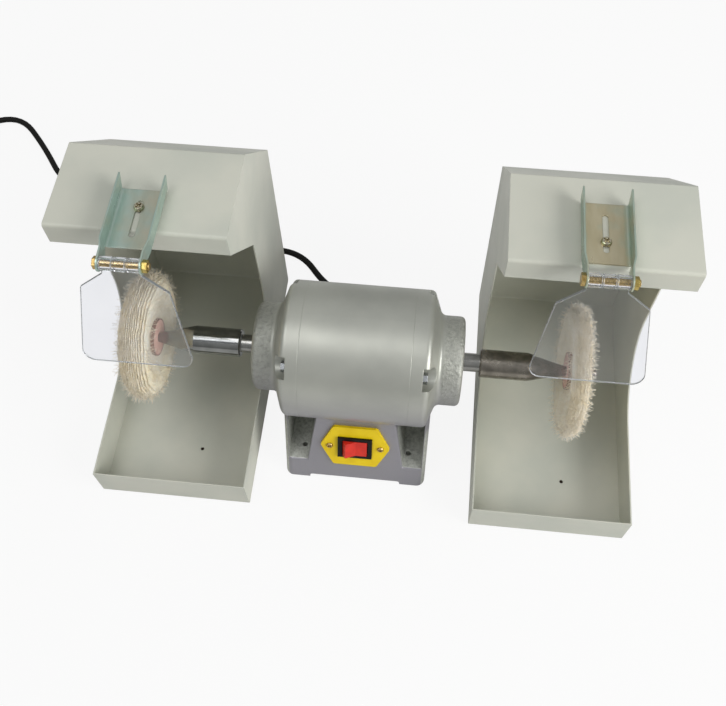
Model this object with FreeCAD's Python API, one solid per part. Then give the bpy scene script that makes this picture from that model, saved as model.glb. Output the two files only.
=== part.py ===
import FreeCAD, Part
import math
import os

from FreeCAD import Vector

# Dental polishing lathe: a twin-shaft motor on a cast pedestal, with a cotton buff on a
# tapered spindle at each end and a folded sheet-metal hood behind each buff.  Each hood
# carries a slotted bracket and a clear hinged shield.
# Frame: millimetres, +X along the shaft to the right, +Y to the back, +Z up, origin on the
# bench under the middle of the pedestal.

# ---------------------------------------------------------------- driving dimensions
# motor housing and end bells
BODY_R = 56.0
BARREL_LIFT = 61.0          # clear height under the barrel
AXIS_Z = BARREL_LIFT + BODY_R   # shaft height above the bench
BODY_HALF = 43.5            # half length of the housing between the end bells
BODY_WALL = 5.0
BELL_RIM = 10.5             # straight part of a bell beyond the seam
BELL_SHOULDER_R = 5.0
BELL_FACE_LEAN = 20.0       # degrees that a bell's face leans towards the boss
BELL_NECK_R = 5.0
BOSS_R = 36.5
BOSS_FACE = 83.5            # distance of a boss face from the middle
BOSS_EDGE_R = 4.0
BELL_FLANGE_T = 9.5
BELL_FLANGE_BORE_R = 38.0
BELL_HUB_BORE_R = 24.0
BELL_LIP_T = 4.0            # wall around the shaft hole
SHAFT_HOLE_GAP = 0.7

# bell bolts, one at the front and one at the back of each bell
BELL_BOLT_R = 2.5
BELL_BOLT_LEN = 18.0
BELL_BOLT_INSET = 7.0       # from the barrel's outside in to a bolt's axis
BELL_BOLT_CIRCLE_R = BODY_R - BELL_BOLT_INSET
BELL_BOLT_ANGLE = 43.5      # above the horizontal
BELL_NOTCH_R = 9.0          # half width of the open notch that a bolt head sits in
LUG_R = 5.5
LUG_LEN = 13.5
BOLT_HEAD_AF = 8.0
BOLT_HEAD_H = 3.5

# pedestal
FOOT_HALF_X = 62.0
FOOT_HALF_Y = 66.0
FACE_LEAN = 20.0            # degrees from the vertical
PEDESTAL_TOP = 84.0
PEDESTAL_EDGE_R = 7.0
BLEND_R = 20.0              # concave blend between the barrel and each leaning face
ARCH_HALF_X = 40.0
ARCH_H = 3.2
ARCH_EDGE_R = 2.0
CAVITY_HALF_X = 28.0
CAVITY_WALL = 6.0
WIRE_HOLE_R = 6.0

# bench bolt pockets in the four corners
POCKET_IN_X = 42.0
POCKET_OUT_X = 58.5
POCKET_DRAFT = 9.0          # degrees that the inner wall leans inwards
POCKET_BACK_Y = 15.0
POCKET_FLOOR_Z = 20.0
POCKET_RIM_R = 1.2          # rounding of the rim on the leaning faces
BENCH_HOLE_R = 2.2
BENCH_HOLE_X = 46.0
BENCH_HOLE_Y = 44.0

# bottom cover
COVER_HALF_X = 37.5
COVER_HALF_Y = 61.0
COVER_T = 1.5
COVER_SCREW_X = 35.0
COVER_SCREW_Y = 30.0
COVER_SCREW_R = 2.0
COVER_SCREW_LEN = 9.0
COVER_HEAD_R = 3.8
COVER_HEAD_H = 1.4

# motor inside
STATOR_HALF = 24.0
SLOTS = 12
SLOT_W = 6.0
SLOT_DEPTH = 8.0
TOOTH_TIP = 1.5             # from a slot in to the core's bore
STATOR_YOKE = 11.5          # solid ring of the core outside the slots
WINDING_END = 11.0          # overhang of the winding at each end of the stator
AIR_GAP = 0.4
ROTOR_HALF = 25.0
CAGE_RING_STEP = 2.6        # from the rotor's outside in to its end rings
CAGE_RING_T = 6.0
FAN_X = 38.0
FAN_R = 33.0
FAN_PLATE_T = 2.0
FAN_BLADE_H = 6.0
FAN_BLADES = 8
SHAFT_MID_R = 9.0
SHAFT_R = 7.5
SHAFT_HALF = 126.0

# ball bearings
BEARING_X = 65.0            # inner side of each bearing
BEARING_W = 11.0
BEARING_OUT_R = 17.5
BEARING_RACE_OUT_R = 14.6
BEARING_RACE_IN_R = 10.7
BEARING_SHIELD_GAP = 0.1
BEARING_SHIELD_T = 0.8
BALLS = 8
BALL_GAP = 0.05

# tapered spindles
COLLAR_X = 97.5
COLLAR_END_X = 136.0
COLLAR_R = 11.5
COLLAR_CHAMFER = 1.0
TAPER_BEFORE = 10.0         # taper's end before the buff's middle plane
TAPER_R = 4.0
TIP_BEYOND = 16.0           # tip beyond the buff's middle plane
TIP_R = 3.0
SHAFT_END_GAP = 1.0
SET_SCREW_X = 110.0
SET_SCREW_R = 3.0
SET_SCREW_ANGLE = -130.0    # from straight up towards the front
SET_SCREW_SINK = 0.4
HEX_KEY_AF = 3.0
HEX_KEY_DEPTH = 2.0

# cotton buffs with leather discs
BUFF_X = 176.0              # middle plane of a buff
BUFF_R = 52.5
BUFF_HUB_HALF = 6.0
BUFF_RIM_HALF = 10.0
BUFF_HUB_R = 17.0
LEATHER_R = 15.5
LEATHER_T = 3.0

# switch on the front face
SWITCH_Z = 43.0             # height of its middle on the face
PLATE_TIP = 30.0
PLATE_TOP_HALF = 18.8
PLATE_HALF_H = 23.2
PLATE_T = 2.5
PLATE_CORNER_R = 3.0
PLATE_SCREW_U = 22.0
PLATE_SCREW_R = 1.5
PLATE_SCREW_LEN = 7.0
PLATE_SCREW_HEAD_R = 2.9
PLATE_SCREW_HEAD_H = 1.4
BEZEL_W = 29.6
BEZEL_H = 23.4
BEZEL_T = 2.0
SWITCH_BODY_W = 26.4
SWITCH_BODY_H = 20.4
SWITCH_BODY_DEPTH = 17.0
SWITCH_HOLE_GAP = 0.3
ROCKER_R = 10.8             # half width of the rocker about its pivot
ROCKER_HALF_H = 8.4
ROCKER_GAP = 0.25
ROCKER_TILT = 13.0          # either side of the middle
ROCKER_VALLEY = 3.4         # above the pivot
ROCKER_BELOW = 5.0
PIVOT_SINK = 3.0            # pivot below the front of the bezel
PIVOT_R = 1.5
PIVOT_LEN = 1.8
PIVOT_FIT = 0.05
TAB_W = 6.3
TAB_T = 0.8
TAB_LEN = 8.0
TAB_U = 7.5
TAB_V = 4.5

# run capacitor and terminal block in the pedestal
CAPACITOR_R = 12.0
CAPACITOR_LEN = 44.0
CAPACITOR_Y = 24.0
CLIP_T = 1.0
CLIP_W = 12.0
TERMINAL_X = 26.0
TERMINAL_Y = 14.0
TERMINAL_Z = 12.0
TERMINAL_AT_Y = -8.0
TERMINAL_SCREWS = 3
TERMINAL_PITCH = 8.0
TERMINAL_SCREW_R = 2.2
TERMINAL_SCREW_H = 1.5

# cord gland at the back
GLAND_X = -22.0
GLAND_Z = 24.0
GLAND_SEAT_Y = 53.0
GLAND_SEAT_R = 10.5
GLAND_FLANGE_R = 8.5
GLAND_FLANGE_T = 4.0
GLAND_THREAD_R = 6.0
GLAND_INSIDE = 9.0
GLAND_TAPER_LEN = 26.0
GLAND_TIP_R = 4.4

# hoods, one behind each buff
HOOD_LEFT_X = -156.0        # middle of the left hood
HOOD_RIGHT_X = 169.0        # middle of the right hood
HOOD_W = 132.0
HOOD_H = 258.0
HOOD_BACK_Y = 141.0
HOOD_BACK_H = 194.0
ROOF_BACK_Y = 80.0
ROOF_FRONT_Y = 4.0
ROOF_LIP = 20.0
TRAY_FRONT_Y = -97.0
TRAY_LIP = 38.0
SHEET_T = 1.2
BEND_R = 2.5
SIDE_EDGE_Y = 58.0          # upright front edge of the side walls
SIDE_EDGE_TOP_Z = 176.0
SIDE_CORNER_R = 9.0
SIDE_SWEEP_R = 70.0         # sweep from the upright edge down to the tray side
TRAY_SIDE_Z = 40.0
DRAIN_R = 1.6
DRAIN_DX = 14.5             # hole in the tray floor, from the middle of the hood
DRAIN_Y = -50.0

# slotted bracket on the roof
BRACKET_W = 34.5
BRACKET_LEN = 50.6
BRACKET_T = 1.2
BRACKET_BEND_R = 2.0        # inside of the bends between the plate and the ears
EAR_H = 12.5
EAR_NOSE_HALF_X = 15.5      # outer half width of the ears at the hinge
EAR_REACH = 17.0            # hinge ahead of the plate's front edge
EAR_NOSE_R = 6.0
EAR_TAIL = 5.5              # pointed rear tips beyond the plate
EAR_JOG = 8.0
HINGE_RISE = 6.0            # hinge axis above the roof
SLIDE_GAP = 0.05
SLOT_FRONT = 9.0
SLOT_LEN = 32.0
SLOT_WIDTH = 4.4
CLAMP_Y = 24.1
CLAMP_R = 2.0
CLAMP_HEAD_R = 3.9
CLAMP_HEAD_H = 2.6
CLAMP_LEN = 10.0
CLAMP_NUT_AF = 7.0
CLAMP_NUT_H = 3.2
BRACKET_FRONT_LEFT = -10.6  # front edge of the left plate
BRACKET_FRONT_RIGHT = 6.4   # front edge of the right plate

# clear shield and its hinge bolt
HINGE_BOLT_R = 2.5
HINGE_FIT = 0.05
HINGE_SIDE_GAP = 0.3
HINGE_HEAD_AF = 8.0
HINGE_HEAD_H = 3.0
HINGE_NUT_H = 3.6
HINGE_THREAD_END = 1.2
KNUCKLE_R = 5.0
KNUCKLES = 3
KNUCKLE_GROOVE_W = 1.2
KNUCKLE_GROOVE_R = 4.2
SHIELD_T = 2.5
SHIELD_TILT = 20.0          # bottom edge swung forward at rest
SHIELD_NECK_LEN = 8.0
SHIELD_SHOULDER_D = 21.0
SHIELD_SHOULDER_HALF = 31.5
SHIELD_BOTTOM_D = 89.0
SHIELD_BOTTOM_HALF = 42.5
SHIELD_CORNER_R = 9.0
SHIELD_NECK_R = 1.0
SHIELD_SHOULDER_R = 2.0

# power cord
CORD_R = 3.1
CORD_POINTS = [             # route of the cord from the gland to its coil
    Vector(-22, 83, 24), Vector(-24, 114, 20), Vector(-52, 136, 3.1),
    Vector(-80, 172, 3.1), Vector(-122, 175, 3.1), Vector(-175, 187, 3.1),
    Vector(-232, 212, 3.1), Vector(-289, 230, 3.1), Vector(-350, 239, 3.1),
    Vector(-383, 286, 3.1), Vector(-426, 333, 3.1), Vector(-477, 305, 3.1),
]
COIL_X = -497.0
COIL_Y = 238.0
COIL_MID_R = 34.0           # middle of the wound turns
COIL_LAYERS = 2             # turns side by side and turns on each other
COIL_ENTRY = 132.0          # where on the ring the cord comes in, in degrees
COIL_STUB = 22.0            # straight length that leaves the ring as a tangent
COIL_TUCK = 0.2             # the stubs are this much slimmer than the cord, inside the ring
PLUG_EXIT = 180.0           # where the cord leaves the ring for the plug
TIE_ANGLE = 20.0
TIE_W = 8.0
TIE_T = 0.8
PLUG_RELIEF_LEN = 24.0
PLUG_RELIEF_R = 4.6
PLUG_LEN = 30.0
PLUG_WIDTH = 30.0
PLUG_THICK = 17.0
PLUG_EDGE_R = 3.0
PIN_R = 2.4
PIN_LEN = 19.0
PIN_PITCH = 19.0
PIN_ROOT = 4.0

# ---------------------------------------------------------------- derived places
BORE_R = BODY_R - BODY_WALL
SLOT_OUT_R = BORE_R - STATOR_YOKE
SLOT_IN_R = SLOT_OUT_R - SLOT_DEPTH
STATOR_BORE_R = SLOT_IN_R - TOOTH_TIP
BELL_FACE_X = BODY_HALF + BELL_RIM
BELL_BOLT_SEAT_X = BODY_HALF + BELL_FLANGE_T
LEAN = math.tan(math.radians(FACE_LEAN))
COVER_Z = ARCH_H - COVER_T
TAPER_X = BUFF_X - TAPER_BEFORE
TIP_X = BUFF_X + TIP_BEYOND
X_AXIS = Vector(1, 0, 0)
Y_AXIS = Vector(0, 1, 0)
Z_AXIS = Vector(0, 0, 1)
SHAFT_POINT = Vector(0, 0, AXIS_Z)

os.makedirs("parts", exist_ok=True)
NODES = {}


# ---------------------------------------------------------------- shared shapes
def keep(name, *shapes):
    """Store the separate solids of one node."""
    solids = [solid for shape in shapes for solid in shape.Solids]
    NODES[name] = solids[0] if len(solids) == 1 else Part.makeCompound(solids)
    return NODES[name]


def revolve_x(points):
    """Solid turned about the shaft from (x, r) points; an item (x, r, x, r) is an arc's middle
    and end."""
    edges = []
    start = Vector(points[0][0], 0, points[0][1])
    last = start
    for item in list(points[1:]) + [points[0]]:
        end = Vector(item[-2], 0, item[-1])
        if len(item) == 4:
            edges.append(Part.Arc(last, Vector(item[0], 0, item[1]), end).toShape())
        elif end.distanceToPoint(last) > 1e-9:
            edges.append(Part.LineSegment(last, end).toShape())
        last = end
    face = Part.Face(Part.Wire(edges))
    solid = face.revolve(Vector(0, 0, 0), X_AXIS, 360)
    solid.translate(SHAFT_POINT)
    return solid


def arc_through(cx, cr, radius, degrees, end):
    """Arc item for revolve_x: the middle at an angle about (cx, cr), then the end point."""
    angle = math.radians(degrees)
    return (cx + radius * math.cos(angle), cr + radius * math.sin(angle), end[0], end[1])


def mirror_x(shape):
    return shape.mirror(Vector(0, 0, 0), X_AXIS)


def cylinder(radius, length, start, direction):
    return Part.makeCylinder(radius, length, start, direction)


def box(x0, x1, y0, y1, z0, z1):
    return Part.makeBox(x1 - x0, y1 - y0, z1 - z0, Vector(x0, y0, z0))


def hexagon(across_flats, height, start, direction):
    """Hexagonal prism standing on a point."""
    radius = across_flats / math.sqrt(3)
    corners = [
        Vector(radius * math.cos(math.radians(60 * i)), radius * math.sin(math.radians(60 * i)), 0)
        for i in range(6)
    ]
    prism = Part.Face(Part.makePolygon(corners + [corners[0]])).extrude(Vector(0, 0, height))
    prism.Placement = FreeCAD.Placement(start, FreeCAD.Rotation(Z_AXIS, direction))
    return prism


def rounded_face(points, radii):
    """Flat face with each corner rounded by its own radius, nought for a sharp one."""
    count = len(points)
    starts, ends, middles = [], [], []
    for i, corner in enumerate(points):
        before = (points[i - 1] - corner).normalize()
        after = (points[(i + 1) % count] - corner).normalize()
        half = before.getAngle(after) / 2
        cut = radii[i] / math.tan(half)
        starts.append(corner + before * cut)
        ends.append(corner + after * cut)
        toward = (before + after).normalize()
        middles.append(corner + toward * (radii[i] / math.sin(half) - radii[i]))
    edges = []
    for i in range(count):
        if radii[i] > 0:
            edges.append(Part.Arc(starts[i], middles[i], ends[i]).toShape())
        edges.append(Part.LineSegment(ends[i], starts[(i + 1) % count]).toShape())
    return Part.Face(Part.Wire(edges))


def side_profile(points, radii, x0, x1):
    """Solid between two X planes from a (y, z) outline with rounded corners."""
    face = rounded_face([Vector(x0, y, z) for y, z in points], radii)
    return face.extrude(Vector(x1 - x0, 0, 0))


def vertical_edges(shape, low):
    """Edges that rise from near the bottom, for the corners of a block."""
    return [
        edge for edge in shape.Edges
        if edge.BoundBox.ZLength > low and edge.BoundBox.XLength < 1e-6
    ]


# ---------------------------------------------------------------- motor housing
def bell_outline_solid(inner_points):
    """Right end bell: its outside from the seam to the boss face, then the given inside."""
    lean = math.radians(BELL_FACE_LEAN)
    arc_middle = (90 + BELL_FACE_LEAN) / 2
    shoulder_r = BODY_R - BELL_SHOULDER_R
    neck_r = BOSS_R + BELL_NECK_R
    face_top = (BELL_FACE_X + BELL_SHOULDER_R * math.cos(lean),
                shoulder_r + BELL_SHOULDER_R * math.sin(lean))
    face_low_r = neck_r - BELL_NECK_R * math.sin(lean)
    face_low_x = face_top[0] + (face_top[1] - face_low_r) * math.tan(lean)
    neck_x = face_low_x + BELL_NECK_R * math.cos(lean)
    outside = [
        (BODY_HALF, BODY_R),
        (BELL_FACE_X, BODY_R),
        arc_through(BELL_FACE_X, shoulder_r, BELL_SHOULDER_R, arc_middle, face_top),
        (face_low_x, face_low_r),
        arc_through(neck_x, neck_r, BELL_NECK_R, 180 + arc_middle, (neck_x, BOSS_R)),
        (BOSS_FACE - BOSS_EDGE_R, BOSS_R),
        arc_through(BOSS_FACE - BOSS_EDGE_R, BOSS_R - BOSS_EDGE_R, BOSS_EDGE_R, 45,
                    (BOSS_FACE, BOSS_R - BOSS_EDGE_R)),
    ]
    return revolve_x(outside + inner_points)


def bolt_place(x, side):
    """Point on the bell bolt circle at the front (-1) or back (1)."""
    angle = math.radians(BELL_BOLT_ANGLE)
    return Vector(x, side * BELL_BOLT_CIRCLE_R * math.cos(angle),
                  AXIS_Z + BELL_BOLT_CIRCLE_R * math.sin(angle))


def bolt_notch(side):
    """Room around a bolt head, open outwards, at the front (-1) or back (1) of the right bell."""
    seat = cylinder(BELL_NOTCH_R, BOSS_FACE, bolt_place(BELL_BOLT_SEAT_X, side), X_AXIS)
    mouth = box(BELL_BOLT_SEAT_X, BELL_BOLT_SEAT_X + BOSS_FACE, -BELL_NOTCH_R, BELL_NOTCH_R,
                BELL_BOLT_CIRCLE_R, 2 * BODY_R)
    mouth.rotate(Vector(0, 0, 0), X_AXIS, side * (BELL_BOLT_ANGLE - 90))
    mouth.translate(SHAFT_POINT)
    return seat.fuse(mouth).removeSplitter()


def end_bell():
    hole_r = SHAFT_R + SHAFT_HOLE_GAP
    seat_end = BEARING_X + BEARING_W
    bell = bell_outline_solid([
        (BOSS_FACE, hole_r),
        (BOSS_FACE - BELL_LIP_T, hole_r),
        (BOSS_FACE - BELL_LIP_T, BEARING_RACE_OUT_R),
        (seat_end, BEARING_RACE_OUT_R),
        (seat_end, BEARING_OUT_R),
        (BEARING_X, BEARING_OUT_R),
        (BEARING_X - BELL_LIP_T, BELL_HUB_BORE_R),
        (BELL_BOLT_SEAT_X, BELL_FLANGE_BORE_R),
        (BODY_HALF, BELL_FLANGE_BORE_R),
    ])
    for side in (-1, 1):
        hole = cylinder(BELL_BOLT_R, BELL_FLANGE_T, bolt_place(BODY_HALF, side), X_AXIS)
        bell = bell.cut(bolt_notch(side)).cut(hole)
    return bell


def bell_bolts():
    bolts = []
    for side in (-1, 1):
        shank = cylinder(BELL_BOLT_R, BELL_BOLT_LEN,
                         bolt_place(BELL_BOLT_SEAT_X - BELL_BOLT_LEN, side), X_AXIS)
        head = hexagon(BOLT_HEAD_AF, BOLT_HEAD_H, bolt_place(BELL_BOLT_SEAT_X, side), X_AXIS)
        bolts.append(shank.fuse(head).removeSplitter())
    return bolts


def pedestal_block():
    """Outside of the pedestal: leaning front and back, rounded upright corners."""
    top_y = FOOT_HALF_Y - PEDESTAL_TOP * LEAN
    outline = [(-FOOT_HALF_Y, 0), (FOOT_HALF_Y, 0), (top_y, PEDESTAL_TOP), (-top_y, PEDESTAL_TOP)]
    block = side_profile(outline, [0, 0, 0, 0], -FOOT_HALF_X, FOOT_HALF_X)
    return block.makeFillet(PEDESTAL_EDGE_R, vertical_edges(block, PEDESTAL_TOP / 2))


def barrel_blend(side):
    """Concave fillet along the barrel between it and the front (-1) or back (1) face."""
    lean = math.radians(FACE_LEAN)
    off = Vector(0, side * math.cos(lean), math.sin(lean))
    up = Vector(0, -side * math.sin(lean), math.cos(lean))
    foot = Vector(0, side * FOOT_HALF_Y, 0) + off * BLEND_R
    gap = foot - SHAFT_POINT
    along = gap.dot(up)
    reach = BODY_R + BLEND_R
    centre = foot - up * (along + math.sqrt(along ** 2 - gap.dot(gap) + reach ** 2))
    toward = (SHAFT_POINT - centre).normalize()
    on_face = centre - off * BLEND_R
    on_barrel = centre + toward * BLEND_R
    middle = centre + (toward - off).normalize() * BLEND_R
    low, high = Vector(0, 0, on_face.z), Vector(0, 0, on_barrel.z)
    edges = [Part.Arc(on_face, middle, on_barrel).toShape()]
    for start, end in ((on_barrel, high), (high, low), (low, on_face)):
        edges.append(Part.LineSegment(start, end).toShape())
    prism = Part.Face(Part.Wire(edges)).extrude(X_AXIS * (2 * BODY_HALF))
    prism.translate(X_AXIS * -BODY_HALF)
    return prism


def pedestal_cavity():
    inner_y = FOOT_HALF_Y - CAVITY_WALL
    top_y = inner_y - PEDESTAL_TOP * LEAN
    outline = [(-inner_y, 0), (inner_y, 0), (top_y, PEDESTAL_TOP), (-top_y, PEDESTAL_TOP)]
    return side_profile(outline, [0, 0, 0, 0], -CAVITY_HALF_X, CAVITY_HALF_X)


def arch_cut():
    reach = FOOT_HALF_Y + 1
    outline = [(-ARCH_HALF_X, -ARCH_H), (ARCH_HALF_X, -ARCH_H), (ARCH_HALF_X, ARCH_H),
               (-ARCH_HALF_X, ARCH_H)]
    face = rounded_face([Vector(x, -reach, z) for x, z in outline],
                        [0, 0, ARCH_EDGE_R, ARCH_EDGE_R])
    return face.extrude(Vector(0, 2 * reach, 0))


def corner_pocket(side_x, side_y):
    """Pocket with a flat floor, open to the front or back; its inner wall leans inwards."""
    height = AXIS_Z - POCKET_FLOOR_Z
    draft = height * math.tan(math.radians(POCKET_DRAFT))
    outline = [
        Vector(side_x * POCKET_IN_X, side_y * POCKET_BACK_Y, POCKET_FLOOR_Z),
        Vector(side_x * POCKET_OUT_X, side_y * POCKET_BACK_Y, POCKET_FLOOR_Z),
        Vector(side_x * POCKET_OUT_X, side_y * POCKET_BACK_Y, POCKET_FLOOR_Z + height),
        Vector(side_x * (POCKET_IN_X - draft), side_y * POCKET_BACK_Y, POCKET_FLOOR_Z + height),
    ]
    face = Part.Face(Part.makePolygon(outline + [outline[0]]))
    return face.extrude(Vector(0, side_y * FOOT_HALF_Y, 0))


def pocket_rims(block):
    """Edges where the four pockets open on the leaning faces."""
    rims = []
    for edge in block.Edges:
        ends = [vertex.Point for vertex in edge.Vertexes]
        on_face = all(abs(abs(end.y) - FOOT_HALF_Y + end.z * LEAN) < 1e-3 for end in ends)
        on_pocket = all(end.z > POCKET_FLOOR_Z - 1e-3 for end in ends)
        one_side = len(ends) > 1 and ends[0].x * ends[1].x > 0
        if on_face and on_pocket and one_side and edge.BoundBox.XMax < FOOT_HALF_X \
                and edge.BoundBox.XMin > -FOOT_HALF_X and edge.Curve.TypeId == "Part::GeomLine":
            rims.append(edge)
    return rims


def switch_frame(shape):
    """Turn a shape from the switch's own frame (X across, Z up the face, Y inwards) to the face."""
    face_y = -(FOOT_HALF_Y - SWITCH_Z * LEAN)
    shape.Placement = FreeCAD.Placement(
        Vector(0, face_y, SWITCH_Z), FreeCAD.Rotation(X_AXIS, -FACE_LEAN)
    ).multiply(shape.Placement)
    return shape


def motor_housing(bells):
    barrel = cylinder(BODY_R, 2 * BODY_HALF, Vector(-BODY_HALF, 0, AXIS_Z), X_AXIS)
    pedestal = pedestal_block().fuse(barrel_blend(-1)).fuse(barrel_blend(1))
    for side_x in (-1, 1):
        for side_y in (-1, 1):
            pedestal = pedestal.cut(corner_pocket(side_x, side_y))
    pedestal = pedestal.removeSplitter()
    pedestal = pedestal.makeFillet(POCKET_RIM_R, pocket_rims(pedestal))
    housing = barrel.fuse(pedestal)
    for bell in bells:
        housing = housing.cut(bell)
    housing = housing.cut(cylinder(BORE_R, 2 * BODY_HALF, Vector(-BODY_HALF, 0, AXIS_Z), X_AXIS))
    for direction in (-1, 1):
        for side in (-1, 1):
            start = bolt_place(direction * (BODY_HALF - LUG_LEN), side)
            lug = cylinder(LUG_R, LUG_LEN, start, X_AXIS * direction)
            hole_start = bolt_place(direction * (BELL_BOLT_SEAT_X - BELL_BOLT_LEN), side)
            hole = cylinder(BELL_BOLT_R, BELL_BOLT_LEN, hole_start, X_AXIS * direction)
            housing = housing.fuse(lug).cut(hole)
    cavity = pedestal_cavity().cut(barrel)
    housing = housing.cut(cavity).cut(arch_cut())
    housing = housing.cut(cylinder(WIRE_HOLE_R, AXIS_Z, Vector(0, 0, ARCH_H), Z_AXIS))
    for side_x in (-1, 1):
        for side_y in (-1, 1):
            place = Vector(side_x * BENCH_HOLE_X, side_y * BENCH_HOLE_Y, 0)
            cover = Vector(side_x * COVER_SCREW_X, side_y * COVER_SCREW_Y, COVER_Z)
            housing = housing.cut(cylinder(BENCH_HOLE_R, POCKET_FLOOR_Z, place, Z_AXIS))
            housing = housing.cut(cylinder(COVER_SCREW_R, COVER_SCREW_LEN, cover, Z_AXIS))
    hole_w = SWITCH_BODY_W / 2 + SWITCH_HOLE_GAP
    hole_h = SWITCH_BODY_H / 2 + SWITCH_HOLE_GAP
    housing = housing.cut(switch_frame(
        box(-hole_w, hole_w, -PLATE_T, SWITCH_BODY_DEPTH, -hole_h, hole_h)))
    for side in (-1, 1):
        start = Vector(side * PLATE_SCREW_U, PLATE_SCREW_LEN - PLATE_T, 0)
        housing = housing.cut(switch_frame(
            cylinder(PLATE_SCREW_R, PLATE_SCREW_LEN, start, Y_AXIS * -1)))
    gland_centre = Vector(GLAND_X, GLAND_SEAT_Y, GLAND_Z)
    housing = housing.cut(cylinder(GLAND_SEAT_R, FOOT_HALF_Y, gland_centre, Y_AXIS))
    housing = housing.cut(cylinder(GLAND_THREAD_R, GLAND_INSIDE, gland_centre, Y_AXIS * -1))
    return housing


def make_housing():
    bell = end_bell()
    solid_bell = bell_outline_solid([(BOSS_FACE, 0), (BODY_HALF, 0)])
    keep("motor_housing", motor_housing([solid_bell, mirror_x(solid_bell)]))
    keep("end_bell_right", bell)
    keep("end_bell_left", mirror_x(bell))
    bolts = bell_bolts()
    keep("end_bell_bolts", *bolts, *[mirror_x(bolt) for bolt in bolts])


def make_bottom_cover():
    cover = box(-COVER_HALF_X, COVER_HALF_X, -COVER_HALF_Y, COVER_HALF_Y, COVER_Z, ARCH_H)
    screws = []
    for side_x in (-1, 1):
        for side_y in (-1, 1):
            start = Vector(side_x * COVER_SCREW_X, side_y * COVER_SCREW_Y, COVER_Z)
            shank = cylinder(COVER_SCREW_R, COVER_SCREW_LEN, start, Z_AXIS)
            head = cylinder(COVER_HEAD_R, COVER_HEAD_H, start, Z_AXIS * -1)
            cover = cover.cut(shank)
            screws.append(shank.fuse(head).removeSplitter())
    keep("bottom_cover", cover)
    keep("bottom_cover_screws", *screws)


# ---------------------------------------------------------------- motor inside
def ring_x(outer, inner, x0, x1):
    return revolve_x([(x0, inner), (x1, inner), (x1, outer), (x0, outer)])


def make_stator():
    core = ring_x(BORE_R, STATOR_BORE_R, -STATOR_HALF, STATOR_HALF)
    reach = STATOR_HALF + WINDING_END
    winding = ring_x(SLOT_OUT_R, SLOT_IN_R, STATOR_HALF, reach)
    winding = winding.fuse(ring_x(SLOT_OUT_R, SLOT_IN_R, -reach, -STATOR_HALF))
    for i in range(SLOTS):
        bar = box(-STATOR_HALF, STATOR_HALF, -SLOT_W / 2, SLOT_W / 2, SLOT_IN_R, SLOT_OUT_R)
        bar.rotate(Vector(0, 0, 0), X_AXIS, 360 / SLOTS * i)
        bar.translate(SHAFT_POINT)
        bar = bar.common(ring_x(SLOT_OUT_R, SLOT_IN_R, -STATOR_HALF, STATOR_HALF))
        core = core.cut(bar)
        winding = winding.fuse(bar)
    keep("stator_core", core)
    keep("stator_winding", winding.removeSplitter())


def make_rotor():
    rotor_r = STATOR_BORE_R - AIR_GAP
    keep("rotor_core", ring_x(rotor_r, SHAFT_MID_R, -ROTOR_HALF, ROTOR_HALF))
    cage = ring_x(rotor_r - CAGE_RING_STEP, SHAFT_MID_R, ROTOR_HALF, ROTOR_HALF + CAGE_RING_T)
    keep("rotor_cage_rings", cage, mirror_x(cage))
    fan = ring_x(FAN_R, SHAFT_MID_R, FAN_X, FAN_X + FAN_PLATE_T)
    for i in range(FAN_BLADES):
        blade = box(FAN_X, FAN_X + FAN_PLATE_T + FAN_BLADE_H, -FAN_PLATE_T / 2, FAN_PLATE_T / 2,
                    SHAFT_MID_R + FAN_PLATE_T, FAN_R - FAN_PLATE_T)
        blade.rotate(Vector(0, 0, 0), X_AXIS, 360 / FAN_BLADES * i)
        blade.translate(SHAFT_POINT)
        fan = fan.fuse(blade)
    keep("cooling_fan", fan.removeSplitter())
    shaft = revolve_x([
        (-SHAFT_HALF, 0), (SHAFT_HALF, 0), (SHAFT_HALF, SHAFT_R), (BEARING_X, SHAFT_R),
        (BEARING_X, SHAFT_MID_R), (-BEARING_X, SHAFT_MID_R), (-BEARING_X, SHAFT_R),
        (-SHAFT_HALF, SHAFT_R),
    ])
    keep("motor_shaft", shaft)


def make_bearings():
    x0 = BEARING_X
    x1 = BEARING_X + BEARING_W
    inset = BEARING_SHIELD_T / 2
    shield_r = BEARING_RACE_IN_R + BEARING_SHIELD_GAP
    outer = revolve_x([
        (x0, BEARING_OUT_R), (x1, BEARING_OUT_R), (x1, BEARING_RACE_OUT_R),
        (x1 - inset, BEARING_RACE_OUT_R), (x1 - inset, shield_r),
        (x1 - inset - BEARING_SHIELD_T, shield_r),
        (x1 - inset - BEARING_SHIELD_T, BEARING_RACE_OUT_R),
        (x0 + inset + BEARING_SHIELD_T, BEARING_RACE_OUT_R),
        (x0 + inset + BEARING_SHIELD_T, shield_r), (x0 + inset, shield_r),
        (x0 + inset, BEARING_RACE_OUT_R), (x0, BEARING_RACE_OUT_R),
    ])
    inner = ring_x(BEARING_RACE_IN_R, SHAFT_R, x0, x1)
    ball_r = (BEARING_RACE_OUT_R - BEARING_RACE_IN_R) / 2 - BALL_GAP
    pitch_r = (BEARING_RACE_OUT_R + BEARING_RACE_IN_R) / 2
    balls = []
    for i in range(BALLS):
        angle = 2 * math.pi / BALLS * i
        place = Vector((x0 + x1) / 2, pitch_r * math.cos(angle), AXIS_Z + pitch_r * math.sin(angle))
        balls.append(Part.makeSphere(ball_r, place))
    keep("bearing_outer_rings", outer, mirror_x(outer))
    keep("bearing_inner_rings", inner, mirror_x(inner))
    keep("bearing_balls", *balls, *[mirror_x(ball) for ball in balls])


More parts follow.
